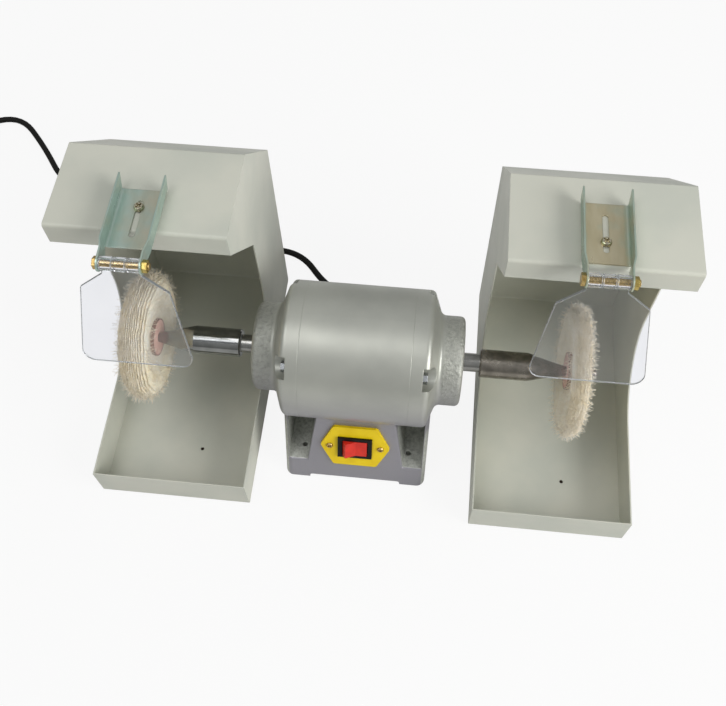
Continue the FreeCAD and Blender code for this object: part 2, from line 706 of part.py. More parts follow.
# ---------------------------------------------------------------- spindles and buffs
def set_screw_solids():
    """The set screw of the right collar and the hole it sits in."""
    angle = math.radians(SET_SCREW_ANGLE)
    outward = Vector(0, -math.sin(angle), math.cos(angle))
    foot = Vector(SET_SCREW_X, 0, AXIS_Z) + outward * SHAFT_R
    length = COLLAR_R - SHAFT_R - SET_SCREW_SINK
    screw = cylinder(SET_SCREW_R, length, foot, outward)
    key = hexagon(HEX_KEY_AF, HEX_KEY_DEPTH, foot + outward * (length - HEX_KEY_DEPTH), outward)
    seat = cylinder(SHAFT_R, 2 * SET_SCREW_R, Vector(SET_SCREW_X - SET_SCREW_R, 0, AXIS_Z), X_AXIS)
    hole = cylinder(SET_SCREW_R, COLLAR_R, foot, outward)
    return screw.cut(key).cut(seat), hole


def make_spindles():
    bore_end = SHAFT_HALF + SHAFT_END_GAP
    spindle = revolve_x([
        (COLLAR_X, SHAFT_R), (COLLAR_X, COLLAR_R - COLLAR_CHAMFER),
        (COLLAR_X + COLLAR_CHAMFER, COLLAR_R), (COLLAR_END_X, COLLAR_R), (TAPER_X, TAPER_R),
        (TIP_X - TIP_R, TIP_R),
        arc_through(TIP_X - TIP_R, 0, TIP_R, 45, (TIP_X, 0)), (bore_end, 0), (bore_end, SHAFT_R),
    ])
    screw, hole = set_screw_solids()
    spindle = spindle.cut(hole)
    keep("spindle_right", spindle)
    keep("spindle_left", mirror_x(spindle))
    keep("spindle_set_screws", screw, mirror_x(screw))
    return spindle


def make_buffs(spindle):
    side_r = BUFF_R - BUFF_RIM_HALF
    x0, x1 = BUFF_X - BUFF_HUB_HALF, BUFF_X + BUFF_HUB_HALF
    rim0, rim1 = BUFF_X - BUFF_RIM_HALF, BUFF_X + BUFF_RIM_HALF
    buff = revolve_x([
        (x0, 0), (x0, BUFF_HUB_R), (rim0, side_r),
        arc_through(BUFF_X, side_r, BUFF_RIM_HALF, 90, (rim1, side_r)),
        (x1, BUFF_HUB_R), (x1, 0),
    ]).cut(spindle)
    discs = [
        cylinder(LEATHER_R, LEATHER_T, Vector(x, 0, AXIS_Z), X_AXIS).cut(spindle)
        for x in (x0 - LEATHER_T, x1)
    ]
    keep("buff_right", buff)
    keep("buff_left", mirror_x(buff))
    keep("leather_discs_right", *discs)
    keep("leather_discs_left", *[mirror_x(disc) for disc in discs])


# ---------------------------------------------------------------- switch
def make_switch_plate():
    outline = [(-PLATE_TIP, 0), (-PLATE_TOP_HALF, -PLATE_HALF_H), (PLATE_TOP_HALF, -PLATE_HALF_H),
               (PLATE_TIP, 0), (PLATE_TOP_HALF, PLATE_HALF_H), (-PLATE_TOP_HALF, PLATE_HALF_H)]
    face = rounded_face([Vector(u, 0, v) for u, v in outline], [PLATE_CORNER_R] * len(outline))
    plate = face.extrude(Vector(0, -PLATE_T, 0))
    half_w = SWITCH_BODY_W / 2 + SWITCH_HOLE_GAP
    half_h = SWITCH_BODY_H / 2 + SWITCH_HOLE_GAP
    plate = plate.cut(box(-half_w, half_w, -2 * PLATE_T, PLATE_T, -half_h, half_h))
    screws = []
    for side in (-1, 1):
        inner = Vector(side * PLATE_SCREW_U, PLATE_SCREW_LEN - PLATE_T, 0)
        shank = cylinder(PLATE_SCREW_R, PLATE_SCREW_LEN, inner, Y_AXIS * -1)
        front = Vector(side * PLATE_SCREW_U, -PLATE_T, 0)
        head = cylinder(PLATE_SCREW_HEAD_R, PLATE_SCREW_HEAD_H, front, Y_AXIS * -1)
        plate = plate.cut(shank)
        screws.append(switch_frame(shank.fuse(head).removeSplitter()))
    keep("switch_plate", switch_frame(plate))
    keep("switch_plate_screws", *screws)


def make_switch_body():
    """Black bezel and body with a pocket for the rocker and two pivot holes."""
    front = -PLATE_T - BEZEL_T
    bezel = box(-BEZEL_W / 2, BEZEL_W / 2, front, -PLATE_T, -BEZEL_H / 2, BEZEL_H / 2)
    body = box(-SWITCH_BODY_W / 2, SWITCH_BODY_W / 2, -PLATE_T, SWITCH_BODY_DEPTH - PLATE_T,
               -SWITCH_BODY_H / 2, SWITCH_BODY_H / 2)
    body = body.fuse(bezel).removeSplitter()
    well_u = ROCKER_R + ROCKER_GAP
    well_v = ROCKER_HALF_H + ROCKER_GAP
    floor_y = front + PIVOT_SINK + ROCKER_R
    body = body.cut(box(-well_u, well_u, front, floor_y, -well_v, well_v))
    pivot_half = well_v + PIVOT_LEN
    pivot_bore = cylinder(PIVOT_R + PIVOT_FIT, 2 * pivot_half,
                          Vector(0, front + PIVOT_SINK, -pivot_half), Z_AXIS)
    body = body.cut(pivot_bore)
    tabs = [
        switch_frame(box(side_u * TAB_U - TAB_W / 2, side_u * TAB_U + TAB_W / 2,
                         SWITCH_BODY_DEPTH - PLATE_T, SWITCH_BODY_DEPTH - PLATE_T + TAB_LEN,
                         side_v * TAB_V - TAB_T / 2, side_v * TAB_V + TAB_T / 2))
        for side_u in (-1, 1) for side_v in (-1, 1)
    ]
    keep("switch_body", switch_frame(body))
    keep("switch_tabs", *tabs)


def make_rocker():
    """Red rocker: two flats in a shallow V, round ends about the pivot, two pivot pins."""
    pivot_y = -PLATE_T - BEZEL_T + PIVOT_SINK
    rise = ROCKER_R * math.tan(math.radians(ROCKER_TILT))
    outline = [
        (-ROCKER_R, pivot_y - ROCKER_VALLEY - rise), (0, pivot_y - ROCKER_VALLEY),
        (ROCKER_R, pivot_y - ROCKER_VALLEY - rise), (ROCKER_R, pivot_y + ROCKER_BELOW),
        (-ROCKER_R, pivot_y + ROCKER_BELOW),
    ]
    corners = [Vector(u, y, -ROCKER_HALF_H) for u, y in outline]
    wedge = Part.Face(Part.makePolygon(corners + [corners[0]])).extrude(
        Vector(0, 0, 2 * ROCKER_HALF_H))
    drum = cylinder(ROCKER_R, 2 * ROCKER_HALF_H, Vector(0, pivot_y, -ROCKER_HALF_H), Z_AXIS)
    pin_half = ROCKER_HALF_H + PIVOT_LEN
    pin = cylinder(PIVOT_R, 2 * pin_half, Vector(0, pivot_y, -pin_half), Z_AXIS)
    rocker = wedge.common(drum).fuse(pin).removeSplitter()
    rocker.rotate(Vector(0, pivot_y, 0), Z_AXIS, ROCKER_TILT)
    keep("switch_rocker", switch_frame(rocker))


# ---------------------------------------------------------------- inside the pedestal
def make_pedestal_fittings():
    axis_z = ARCH_H + CLIP_T + CAPACITOR_R
    half = CAPACITOR_LEN / 2
    keep("run_capacitor",
         cylinder(CAPACITOR_R, CAPACITOR_LEN, Vector(-half, CAPACITOR_Y, axis_z), X_AXIS))
    outer = CAPACITOR_R + CLIP_T
    centre = Vector(-CLIP_W / 2, CAPACITOR_Y, axis_z)
    clip = cylinder(outer, CLIP_W, centre, X_AXIS).fuse(
        box(-CLIP_W / 2, CLIP_W / 2, CAPACITOR_Y - outer, CAPACITOR_Y + outer, ARCH_H, axis_z))
    clip = clip.cut(cylinder(CAPACITOR_R, CLIP_W, centre, X_AXIS))
    keep("capacitor_clip", clip.removeSplitter())
    y0 = TERMINAL_AT_Y - TERMINAL_Y / 2
    block = box(-TERMINAL_X / 2, TERMINAL_X / 2, y0, y0 + TERMINAL_Y, ARCH_H, ARCH_H + TERMINAL_Z)
    screws = []
    for i in range(TERMINAL_SCREWS):
        x = (i - (TERMINAL_SCREWS - 1) / 2) * TERMINAL_PITCH
        top = Vector(x, TERMINAL_AT_Y, ARCH_H + TERMINAL_Z)
        screw = cylinder(TERMINAL_SCREW_R, TERMINAL_SCREW_H, top, Z_AXIS * -1)
        block = block.cut(screw)
        screws.append(screw)
    keep("terminal_block", block)
    keep("terminal_screws", *screws)


# ---------------------------------------------------------------- hoods
def side_sweep_points():
    """Upright edge's foot, the middle of the sweep and its end above the tray."""
    centre_y = SIDE_EDGE_Y - SIDE_SWEEP_R
    centre_z = TRAY_SIDE_Z + SIDE_SWEEP_R
    middle = SIDE_SWEEP_R / math.sqrt(2)
    return ((SIDE_EDGE_Y, centre_z), (centre_y + middle, centre_z - middle), (centre_y, TRAY_SIDE_Z))


def hood_shell(x0):
    """Folded sheet hood: roof, sloping back, upright back, floor, two side walls, two lips."""
    x1 = x0 + HOOD_W
    back_slope = [(TRAY_FRONT_Y, 0), (HOOD_BACK_Y, 0), (HOOD_BACK_Y, HOOD_BACK_H),
                  (ROOF_BACK_Y, HOOD_H), (ROOF_FRONT_Y, HOOD_H)]
    lip_z = HOOD_H - ROOF_LIP
    mouth = [(ROOF_FRONT_Y, lip_z), (TRAY_FRONT_Y, lip_z)]
    outer = side_profile(back_slope + mouth, [BEND_R] * len(back_slope) + [0, 0], x0, x1)

    # inside of the folded sheet, one thickness in from every bend
    t = SHEET_T
    run = ROOF_BACK_Y - HOOD_BACK_Y
    climb = HOOD_H - HOOD_BACK_H
    slope_len = math.hypot(run, climb)
    slope_z = (slope_len - climb) / -run * t
    slope_y = (slope_len + run) / climb * t
    inner_points = [
        (TRAY_FRONT_Y + t, t), (HOOD_BACK_Y - t, t), (HOOD_BACK_Y - t, HOOD_BACK_H - slope_z),
        (ROOF_BACK_Y - slope_y, HOOD_H - t), (ROOF_FRONT_Y + t, HOOD_H - t),
    ]
    inner_mouth = [(ROOF_FRONT_Y + t, lip_z), (TRAY_FRONT_Y + t, lip_z)]
    inner_r = BEND_R - t
    inner = side_profile(inner_points + inner_mouth, [inner_r] * len(inner_points) + [0, 0],
                         x0 + t, x1 - t)

    foot, middle, end = side_sweep_points()
    front = TRAY_FRONT_Y - BEND_R
    corners = [(ROOF_FRONT_Y, lip_z), (SIDE_EDGE_Y, SIDE_EDGE_TOP_Z), foot]
    before = Vector(0, corners[0][0] - corners[1][0], corners[0][1] - corners[1][1]).normalize()
    after = Vector(0, 0, -1)
    half = before.getAngle(after) / 2
    corner = Vector(x0, *corners[1])
    reach = SIDE_CORNER_R / math.tan(half)
    bulge = (before + after).normalize() * (SIDE_CORNER_R / math.sin(half) - SIDE_CORNER_R)
    start_round, end_round = corner + before * reach, corner + after * reach

    def at(y, z):
        return Vector(x0, y, z)

    path = [
        Part.LineSegment(at(front, HOOD_H), at(ROOF_FRONT_Y - BEND_R, HOOD_H)).toShape(),
        Part.LineSegment(at(ROOF_FRONT_Y - BEND_R, HOOD_H), at(ROOF_FRONT_Y - BEND_R, lip_z)).toShape(),
        Part.LineSegment(at(ROOF_FRONT_Y - BEND_R, lip_z), at(ROOF_FRONT_Y, lip_z)).toShape(),
        Part.LineSegment(at(ROOF_FRONT_Y, lip_z), start_round).toShape(),
        Part.Arc(start_round, corner + bulge, end_round).toShape(),
        Part.LineSegment(end_round, at(*foot)).toShape(),
        Part.Arc(at(*foot), at(*middle), at(*end)).toShape(),
        Part.LineSegment(at(*end), at(TRAY_FRONT_Y, TRAY_LIP)).toShape(),
        Part.LineSegment(at(TRAY_FRONT_Y, TRAY_LIP), at(front, TRAY_LIP)).toShape(),
        Part.LineSegment(at(front, TRAY_LIP), at(front, HOOD_H)).toShape(),
    ]
    mouth_cut = Part.Face(Part.Wire(path)).extrude(Vector(HOOD_W, 0, 0))
    return outer.cut(inner).cut(mouth_cut)


def make_hood(name, centre_x):
    x0 = centre_x - HOOD_W / 2
    hole = cylinder(CLAMP_R, 2 * SHEET_T, Vector(centre_x, CLAMP_Y, HOOD_H - 2 * SHEET_T), Z_AXIS)
    drain = cylinder(DRAIN_R, 2 * SHEET_T, Vector(centre_x + DRAIN_DX, DRAIN_Y, 0), Z_AXIS)
    keep("hood_" + name, hood_shell(x0).cut(hole).cut(drain))


# ---------------------------------------------------------------- brackets and shields
def bracket_ear(side):
    """One upright ear: side view with a pointed tail and a round nose, bent in at the hinge."""
    hinge_z = HINGE_RISE - SLIDE_GAP
    nose_y = -EAR_REACH
    tail_y = BRACKET_LEN
    outline = [
        (-EAR_JOG / 2, 0), (tail_y, 0), (tail_y + EAR_TAIL, EAR_H), (-EAR_JOG / 2, EAR_H),
        (nose_y, hinge_z + EAR_NOSE_R), (nose_y, hinge_z - EAR_NOSE_R),
    ]
    side_view = Part.Face(Part.makePolygon([Vector(0, y, z) for y, z in outline + outline[:1]]))
    half = BRACKET_W / 2
    slab = side_view.extrude(Vector(half + BRACKET_T, 0, 0))
    nose = cylinder(EAR_NOSE_R, half + BRACKET_T, Vector(0, nose_y, hinge_z), X_AXIS)
    slab = slab.fuse(nose)
    jog_in = half - EAR_NOSE_HALF_X
    far = EAR_REACH + 2 * EAR_NOSE_R
    strip = [
        (half, 2 * tail_y), (half, 0), (half - jog_in, -EAR_JOG), (half - jog_in, -far),
        (half - jog_in - BRACKET_T, -far), (half - jog_in - BRACKET_T, -EAR_JOG),
        (half - BRACKET_T, 0), (half - BRACKET_T, 2 * tail_y),
    ]
    plan = [Vector(x, y, -2 * EAR_NOSE_R) for x, y in strip]
    band = Part.Face(Part.makePolygon(plan + [plan[0]])).extrude(Vector(0, 0, 6 * EAR_NOSE_R))
    ear = slab.common(band)
    return ear if side > 0 else mirror_x(ear)


def bend_corner(side):
    """What a bend takes off the outer corner between the plate and an ear."""
    outer_r = BRACKET_BEND_R + BRACKET_T
    edge_x = BRACKET_W / 2
    length = 2 * EAR_REACH + 2 * BRACKET_LEN
    corner = box(edge_x - outer_r, edge_x, -EAR_REACH, length - EAR_REACH, 0, outer_r)
    drum = cylinder(outer_r, length, Vector(edge_x - outer_r, -EAR_REACH, outer_r), Y_AXIS)
    corner = corner.cut(drum)
    return corner if side > 0 else mirror_x(corner)


def inner_bends(bracket):
    """Edges inside the channel where the plate meets the ears."""
    inner_x = BRACKET_W / 2 - BRACKET_T
    return [
        edge for edge in bracket.Edges
        if edge.BoundBox.XLength < 1e-3
        and all(abs(abs(end.X) - inner_x) < 1e-3 and abs(end.Z - BRACKET_T) < 1e-3
                for end in edge.Vertexes)
    ]


def bracket_solid():
    """Bracket in its own frame: front edge of the plate at y = 0, underside at z = 0."""
    half = BRACKET_W / 2
    plate = box(-half, half, 0, BRACKET_LEN, 0, BRACKET_T)
    slot_r = SLOT_WIDTH / 2
    slot = box(-slot_r, slot_r, SLOT_FRONT + slot_r, SLOT_FRONT + SLOT_LEN - slot_r, 0, BRACKET_T)
    for y in (SLOT_FRONT + slot_r, SLOT_FRONT + SLOT_LEN - slot_r):
        slot = slot.fuse(cylinder(slot_r, BRACKET_T, Vector(0, y, 0), Z_AXIS))
    bracket = plate.fuse(bracket_ear(-1)).fuse(bracket_ear(1)).cut(slot).removeSplitter()
    bracket = bracket.makeFillet(BRACKET_BEND_R, inner_bends(bracket))
    for side in (-1, 1):
        bracket = bracket.cut(bend_corner(side))
    bore = cylinder(HINGE_BOLT_R, BRACKET_W, Vector(-half, -EAR_REACH, HINGE_RISE - SLIDE_GAP),
                    X_AXIS)
    return bracket.cut(bore).removeSplitter()


def hinge_bolt_solids():
    """Bolt and nut across the ears, along X through the origin."""
    half = EAR_NOSE_HALF_X
    length = 2 * half + HINGE_NUT_H + HINGE_THREAD_END
    bolt = cylinder(HINGE_BOLT_R, length, Vector(-half, 0, 0), X_AXIS)
    head = hexagon(HINGE_HEAD_AF, HINGE_HEAD_H, Vector(-half, 0, 0), X_AXIS * -1)
    nut = hexagon(HINGE_HEAD_AF, HINGE_NUT_H, Vector(half, 0, 0), X_AXIS)
    return bolt.fuse(head).removeSplitter(), nut.cut(bolt)


def shield_solid():
    """Clear shield hanging from the origin along -Z, with a grooved knuckle on the bolt."""
    knuckle_half = EAR_NOSE_HALF_X - BRACKET_T - HINGE_SIDE_GAP
    outline = [
        (-knuckle_half, 0), (-knuckle_half, -SHIELD_NECK_LEN),
        (-SHIELD_SHOULDER_HALF, -SHIELD_SHOULDER_D), (-SHIELD_BOTTOM_HALF, -SHIELD_BOTTOM_D),
        (SHIELD_BOTTOM_HALF, -SHIELD_BOTTOM_D), (SHIELD_SHOULDER_HALF, -SHIELD_SHOULDER_D),
        (knuckle_half, -SHIELD_NECK_LEN), (knuckle_half, 0),
    ]
    radii = [0, SHIELD_NECK_R, SHIELD_SHOULDER_R, SHIELD_CORNER_R]
    radii += radii[::-1]
    face = rounded_face([Vector(x, -SHIELD_T / 2, z) for x, z in outline], radii)
    sheet = face.extrude(Vector(0, SHIELD_T, 0))
    knuckle = cylinder(KNUCKLE_R, 2 * knuckle_half, Vector(-knuckle_half, 0, 0), X_AXIS)
    pitch = 2 * knuckle_half / KNUCKLES
    for i in range(1, KNUCKLES):
        x = -knuckle_half + pitch * i - KNUCKLE_GROOVE_W / 2
        groove = cylinder(KNUCKLE_R, KNUCKLE_GROOVE_W, Vector(x, 0, 0), X_AXIS)
        core = cylinder(KNUCKLE_GROOVE_R, KNUCKLE_GROOVE_W, Vector(x, 0, 0), X_AXIS)
        knuckle = knuckle.cut(groove.cut(core))
    bore = cylinder(HINGE_BOLT_R + HINGE_FIT, 2 * knuckle_half, Vector(-knuckle_half, 0, 0), X_AXIS)
    return sheet.fuse(knuckle).cut(bore).removeSplitter()


def make_bracket_set(name, centre_x, front_y):
    """Bracket, clamp screw, hinge bolt and shield of one hood."""
    base = Vector(centre_x, front_y, HOOD_H + SLIDE_GAP)
    bracket = bracket_solid()
    bracket.translate(base)
    keep("bracket_" + name, bracket)

    roof = Vector(centre_x, CLAMP_Y, HOOD_H)
    under_head = roof + Z_AXIS * (BRACKET_T + 2 * SLIDE_GAP)
    shank = cylinder(CLAMP_R, CLAMP_LEN, under_head, Z_AXIS * -1)
    head = cylinder(CLAMP_HEAD_R, CLAMP_HEAD_H, under_head, Z_AXIS)
    keep("clamp_screw_" + name, shank.fuse(head).removeSplitter())
    nut_top = roof - Z_AXIS * SHEET_T
    keep("clamp_nut_" + name,
         hexagon(CLAMP_NUT_AF, CLAMP_NUT_H, nut_top, Z_AXIS * -1).cut(shank))

    hinge = Vector(centre_x, front_y - EAR_REACH, HOOD_H + HINGE_RISE)
    bolt, nut = hinge_bolt_solids()
    shield = shield_solid()
    shield.rotate(Vector(0, 0, 0), X_AXIS, -SHIELD_TILT)
    for shape in (bolt, nut, shield):
        shape.translate(hinge)
    keep("hinge_bolt_" + name, bolt)
    keep("hinge_nut_" + name, nut)
    keep("shield_" + name, shield)


# ---------------------------------------------------------------- power cord
def on_coil(degrees, radius):
    angle = math.radians(degrees)
    return Vector(COIL_X + radius * math.cos(angle), COIL_Y + radius * math.sin(angle), 0)


def coil_heading(degrees):
    """Direction of travel round the coil, anticlockwise from above."""
    angle = math.radians(degrees + 90)
    return Vector(math.cos(angle), math.sin(angle), 0)


def tube_path(points):
    """Straight runs joined by tangent arcs; prints each arc's radius."""
    edges = []
    last = points[0]
    for i in range(1, len(points) - 1):
        corner = points[i]
        before = points[i - 1] - corner
        after = points[i + 1] - corner
        shorter = min(before.Length, after.Length)
        before.normalize()
        after.normalize()
        half_turn = (math.pi - before.getAngle(after)) / 2
        cut = 0.45 * shorter
        radius = cut / math.tan(half_turn)
        print("cord point", i, "radius", round(radius, 1), "turn", round(math.degrees(2 * half_turn)))
        inward = (before + after).normalize()
        middle = corner + inward * (radius / math.cos(half_turn) - radius)
        start, end = corner + before * cut, corner + after * cut
        edges.append(Part.LineSegment(last, start).toShape())
        edges.append(Part.Arc(start, middle, end).toShape())
        last = end
    edges.append(Part.LineSegment(last, points[-1]).toShape())
    return Part.Wire(edges)


def make_gland():
    centre = Vector(GLAND_X, GLAND_SEAT_Y, GLAND_Z)
    gland = cylinder(GLAND_THREAD_R, GLAND_INSIDE, centre, Y_AXIS * -1)
    gland = gland.fuse(cylinder(GLAND_FLANGE_R, GLAND_FLANGE_T, centre, Y_AXIS))
    boot_foot = centre + Y_AXIS * GLAND_FLANGE_T
    boot = Part.makeCone(GLAND_THREAD_R, GLAND_TIP_R, GLAND_TAPER_LEN, boot_foot, Y_AXIS)
    keep("cord_gland", gland.fuse(boot).removeSplitter())


def make_cord():
    layer = 2 * CORD_R
    inner_r = COIL_MID_R - COIL_LAYERS * CORD_R
    outer_r = COIL_MID_R + COIL_LAYERS * CORD_R
    height = COIL_LAYERS * layer
    centre = Vector(COIL_X, COIL_Y, 0)
    ring = cylinder(outer_r, height, centre, Z_AXIS).cut(cylinder(inner_r, height, centre, Z_AXIS))
    wound_r = outer_r - CORD_R
    low = Z_AXIS * CORD_R
    high = Z_AXIS * (height - CORD_R)
    entry = on_coil(COIL_ENTRY, wound_r) + low
    entry_end = entry - coil_heading(COIL_ENTRY) * COIL_STUB
    leave = on_coil(PLUG_EXIT, wound_r) + high
    heading = coil_heading(PLUG_EXIT)
    stub_r = CORD_R - COIL_TUCK
    ring = ring.fuse(cylinder(stub_r, COIL_STUB, entry_end, coil_heading(COIL_ENTRY)))
    ring = ring.fuse(cylinder(stub_r, COIL_STUB, leave, heading))
    keep("cord_coil", ring.removeSplitter())

    path = tube_path(CORD_POINTS + [entry_end])
    first = CORD_POINTS[1] - CORD_POINTS[0]
    profile = Part.Wire(Part.makeCircle(CORD_R, CORD_POINTS[0], first))
    tube = path.makePipeShell([profile], True, False)
    print("cord tube", round(path.Length), "mm long, volume", round(tube.Volume),
          "section by length", round(math.pi * CORD_R ** 2 * path.Length))
    keep("power_cord", tube)

    place = on_coil(TIE_ANGLE, COIL_MID_R)
    bundle = COIL_LAYERS * layer
    tie = box(-bundle / 2 - TIE_T, bundle / 2 + TIE_T, -TIE_W / 2, TIE_W / 2, 0, bundle + TIE_T)
    tie.rotate(Vector(0, 0, 0), Z_AXIS, TIE_ANGLE)
    tie.translate(place)
    keep("cord_tie", tie.cut(NODES["cord_coil"]).Solids[0])

    # plug lying flat in line with the stub that leaves the coil
    relief_foot = leave + heading * COIL_STUB
    relief = Part.makeCone(CORD_R, PLUG_RELIEF_R, PLUG_RELIEF_LEN, relief_foot, heading)
    body_foot = relief_foot + heading * PLUG_RELIEF_LEN
    body = box(body_foot.x - PLUG_WIDTH / 2, body_foot.x + PLUG_WIDTH / 2,
               body_foot.y - PLUG_LEN, body_foot.y, 0, PLUG_THICK)
    body = body.makeFillet(PLUG_EDGE_R, body.Edges)
    pins = []
    for side in (-1, 1):
        start = body_foot + heading * (PLUG_LEN - PIN_ROOT) + X_AXIS * (side * PIN_PITCH / 2)
        pin = cylinder(PIN_R, PIN_ROOT + PIN_LEN, start, heading)
        body = body.cut(pin)
        pins.append(pin)
    keep("power_plug", body.fuse(relief).removeSplitter())
    keep("power_plug_pins", *pins)


# ---------------------------------------------------------------- build
def main():
    make_housing()
    make_bottom_cover()
    make_stator()
    make_rotor()
    make_bearings()
    make_buffs(make_spindles())
    make_switch_plate()
    make_switch_body()
    make_rocker()
    make_pedestal_fittings()
    make_gland()
    for name, centre_x, front_y in (
        ("left", HOOD_LEFT_X, BRACKET_FRONT_LEFT),
        ("right", HOOD_RIGHT_X, BRACKET_FRONT_RIGHT),
    ):
        make_hood(name, centre_x)
        make_bracket_set(name, centre_x, front_y)
    make_cord()
    for name, shape in NODES.items():
        print(name, "solids", len(shape.Solids), "valid", shape.isValid(), round(shape.Volume))
        shape.exportStep(os.path.join("parts", name + ".step"))


main()
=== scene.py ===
import logging
import math
from dataclasses import dataclass, replace
from enum import Enum

import bmesh
import bpy
from bpy.types import Curve, ID, Material, Mesh, Node, NodeSocket, NodeTree, Object
from mathutils import Matrix, Vector


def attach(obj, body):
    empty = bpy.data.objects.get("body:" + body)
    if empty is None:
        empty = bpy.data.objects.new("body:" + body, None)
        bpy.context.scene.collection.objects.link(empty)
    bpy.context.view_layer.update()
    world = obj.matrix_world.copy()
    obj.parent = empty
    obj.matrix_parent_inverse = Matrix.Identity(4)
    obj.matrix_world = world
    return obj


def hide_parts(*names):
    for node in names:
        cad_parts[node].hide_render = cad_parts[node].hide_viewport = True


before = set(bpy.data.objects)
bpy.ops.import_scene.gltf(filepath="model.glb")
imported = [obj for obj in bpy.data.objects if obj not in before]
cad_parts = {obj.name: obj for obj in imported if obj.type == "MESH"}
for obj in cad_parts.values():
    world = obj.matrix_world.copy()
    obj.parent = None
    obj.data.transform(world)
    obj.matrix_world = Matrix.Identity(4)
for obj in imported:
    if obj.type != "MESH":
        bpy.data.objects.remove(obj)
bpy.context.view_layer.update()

MM = 0.001                  # a millimetre in the scene's metres
AXIS_Z = 117.0              # height of the shaft above the bench, in millimetres
BRACKET_X = (-156.0, 169.0)             # middle of the left and the right bracket
WELD = 1e-6                 # points closer together than this, in metres, are one
TURN = 2 * math.pi
WHITE = (1.0, 1.0, 1.0, 1.0)
UNDER, OVER, MIXED = 6, 7, 2            # sockets of a colour mix: two colours in, one out
LEAST, MOST, PICKED = 2, 3, 1           # sockets of a random number: its range in, itself out
LOG = logging.getLogger("polishing_lathe")


class Side(Enum):
    """The two ends of the shaft; the value is the direction along X."""

    LEFT = -1
    RIGHT = 1

    @property
    def label(self) -> str:
        """Name of the side as it stands in node names."""
        return self.name.lower()


# ---------------------------------------------------------------- shared tools
def srgb(code: str) -> tuple[float, float, float, float]:
    """Turn an sRGB hex colour into a linear one.

    Args:
        code: The colour as "#RRGGBB".

    Returns:
        Linear red, green and blue, and an alpha of 1.
    """
    channels = [int(code[i:i + 2], 16) / 255 for i in (1, 3, 5)]
    linear = [c / 12.92 if c <= 0.04045 else ((c + 0.055) / 1.055) ** 2.4 for c in channels]
    return (*linear, 1.0)


def per_mm(size: float) -> float:
    """Scale of a pattern whose features are this many millimetres across."""
    return 1 / (size * MM)


def add_node(tree: NodeTree, kind: str, *values: object, named: dict | None = None,
             stops: tuple = (), **settings: object) -> Node:
    """Add a node with its settings and links.

    Args:
        tree: The tree that gets the node.
        kind: The node's type.
        values: What the first inputs get, in order; None leaves one alone.
        named: What other inputs get, by name or number.
        stops: Positions and hex colours of a colour ramp.
        settings: The node's own properties.

    Returns:
        The new node. A node given as a value stands for its first output.
    """
    node = tree.nodes.new(kind)
    for key, value in settings.items():
        setattr(node, key, value)
    for key, value in [*enumerate(values), *(named or {}).items()]:
        if isinstance(value, Node):
            value = value.outputs[0]
        if isinstance(value, NodeSocket):
            tree.links.new(value, node.inputs[key])
        elif value is not None:
            node.inputs[key].default_value = value
    for i, (place, code) in enumerate(stops):
        elements = node.color_ramp.elements
        if i >= len(elements):
            elements.new(place)
        elements[i].position = place
        elements[i].color = srgb(code)
    return node


def put(name: str, data: ID) -> Object:
    """Put a new object with this data into the scene.

    Args:
        name: The object's name.
        data: What it shows: a mesh, a curve, a lamp or a camera.

    Returns:
        The object.
    """
    made = bpy.data.objects.new(name, data)
    bpy.context.scene.collection.objects.link(made)
    return made


def add_piece(name: str, data: Mesh | Curve, body: str, slot: str) -> Object:
    """Put a finished shape into the scene and let it ride on a body.

    Args:
        name: The piece's name.
        data: Its mesh or curve, in place.
        body: The CAD body that it moves with.
        slot: The record's material slot; not used.

    Returns:
        The piece.
    """
    piece = put(name, data)
    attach(piece, body)
    return piece


def close_mesh(mesh: Mesh, crease: float = 180.0) -> None:
    """Merge a mesh's doubles, turn its faces outwards and shade it smooth.

    Args:
        mesh: The mesh to tidy.
        crease: Edges that turn by more than this many degrees stay sharp.
    """
    work = bmesh.new()
    work.from_mesh(mesh)
    bmesh.ops.remove_doubles(work, verts=work.verts, dist=WELD)
    bmesh.ops.recalc_face_normals(work, faces=work.faces)
    for face in work.faces:
        face.smooth = True
    work.to_mesh(mesh)
    work.free()
    mesh.set_sharp_from_angle(angle=math.radians(crease))


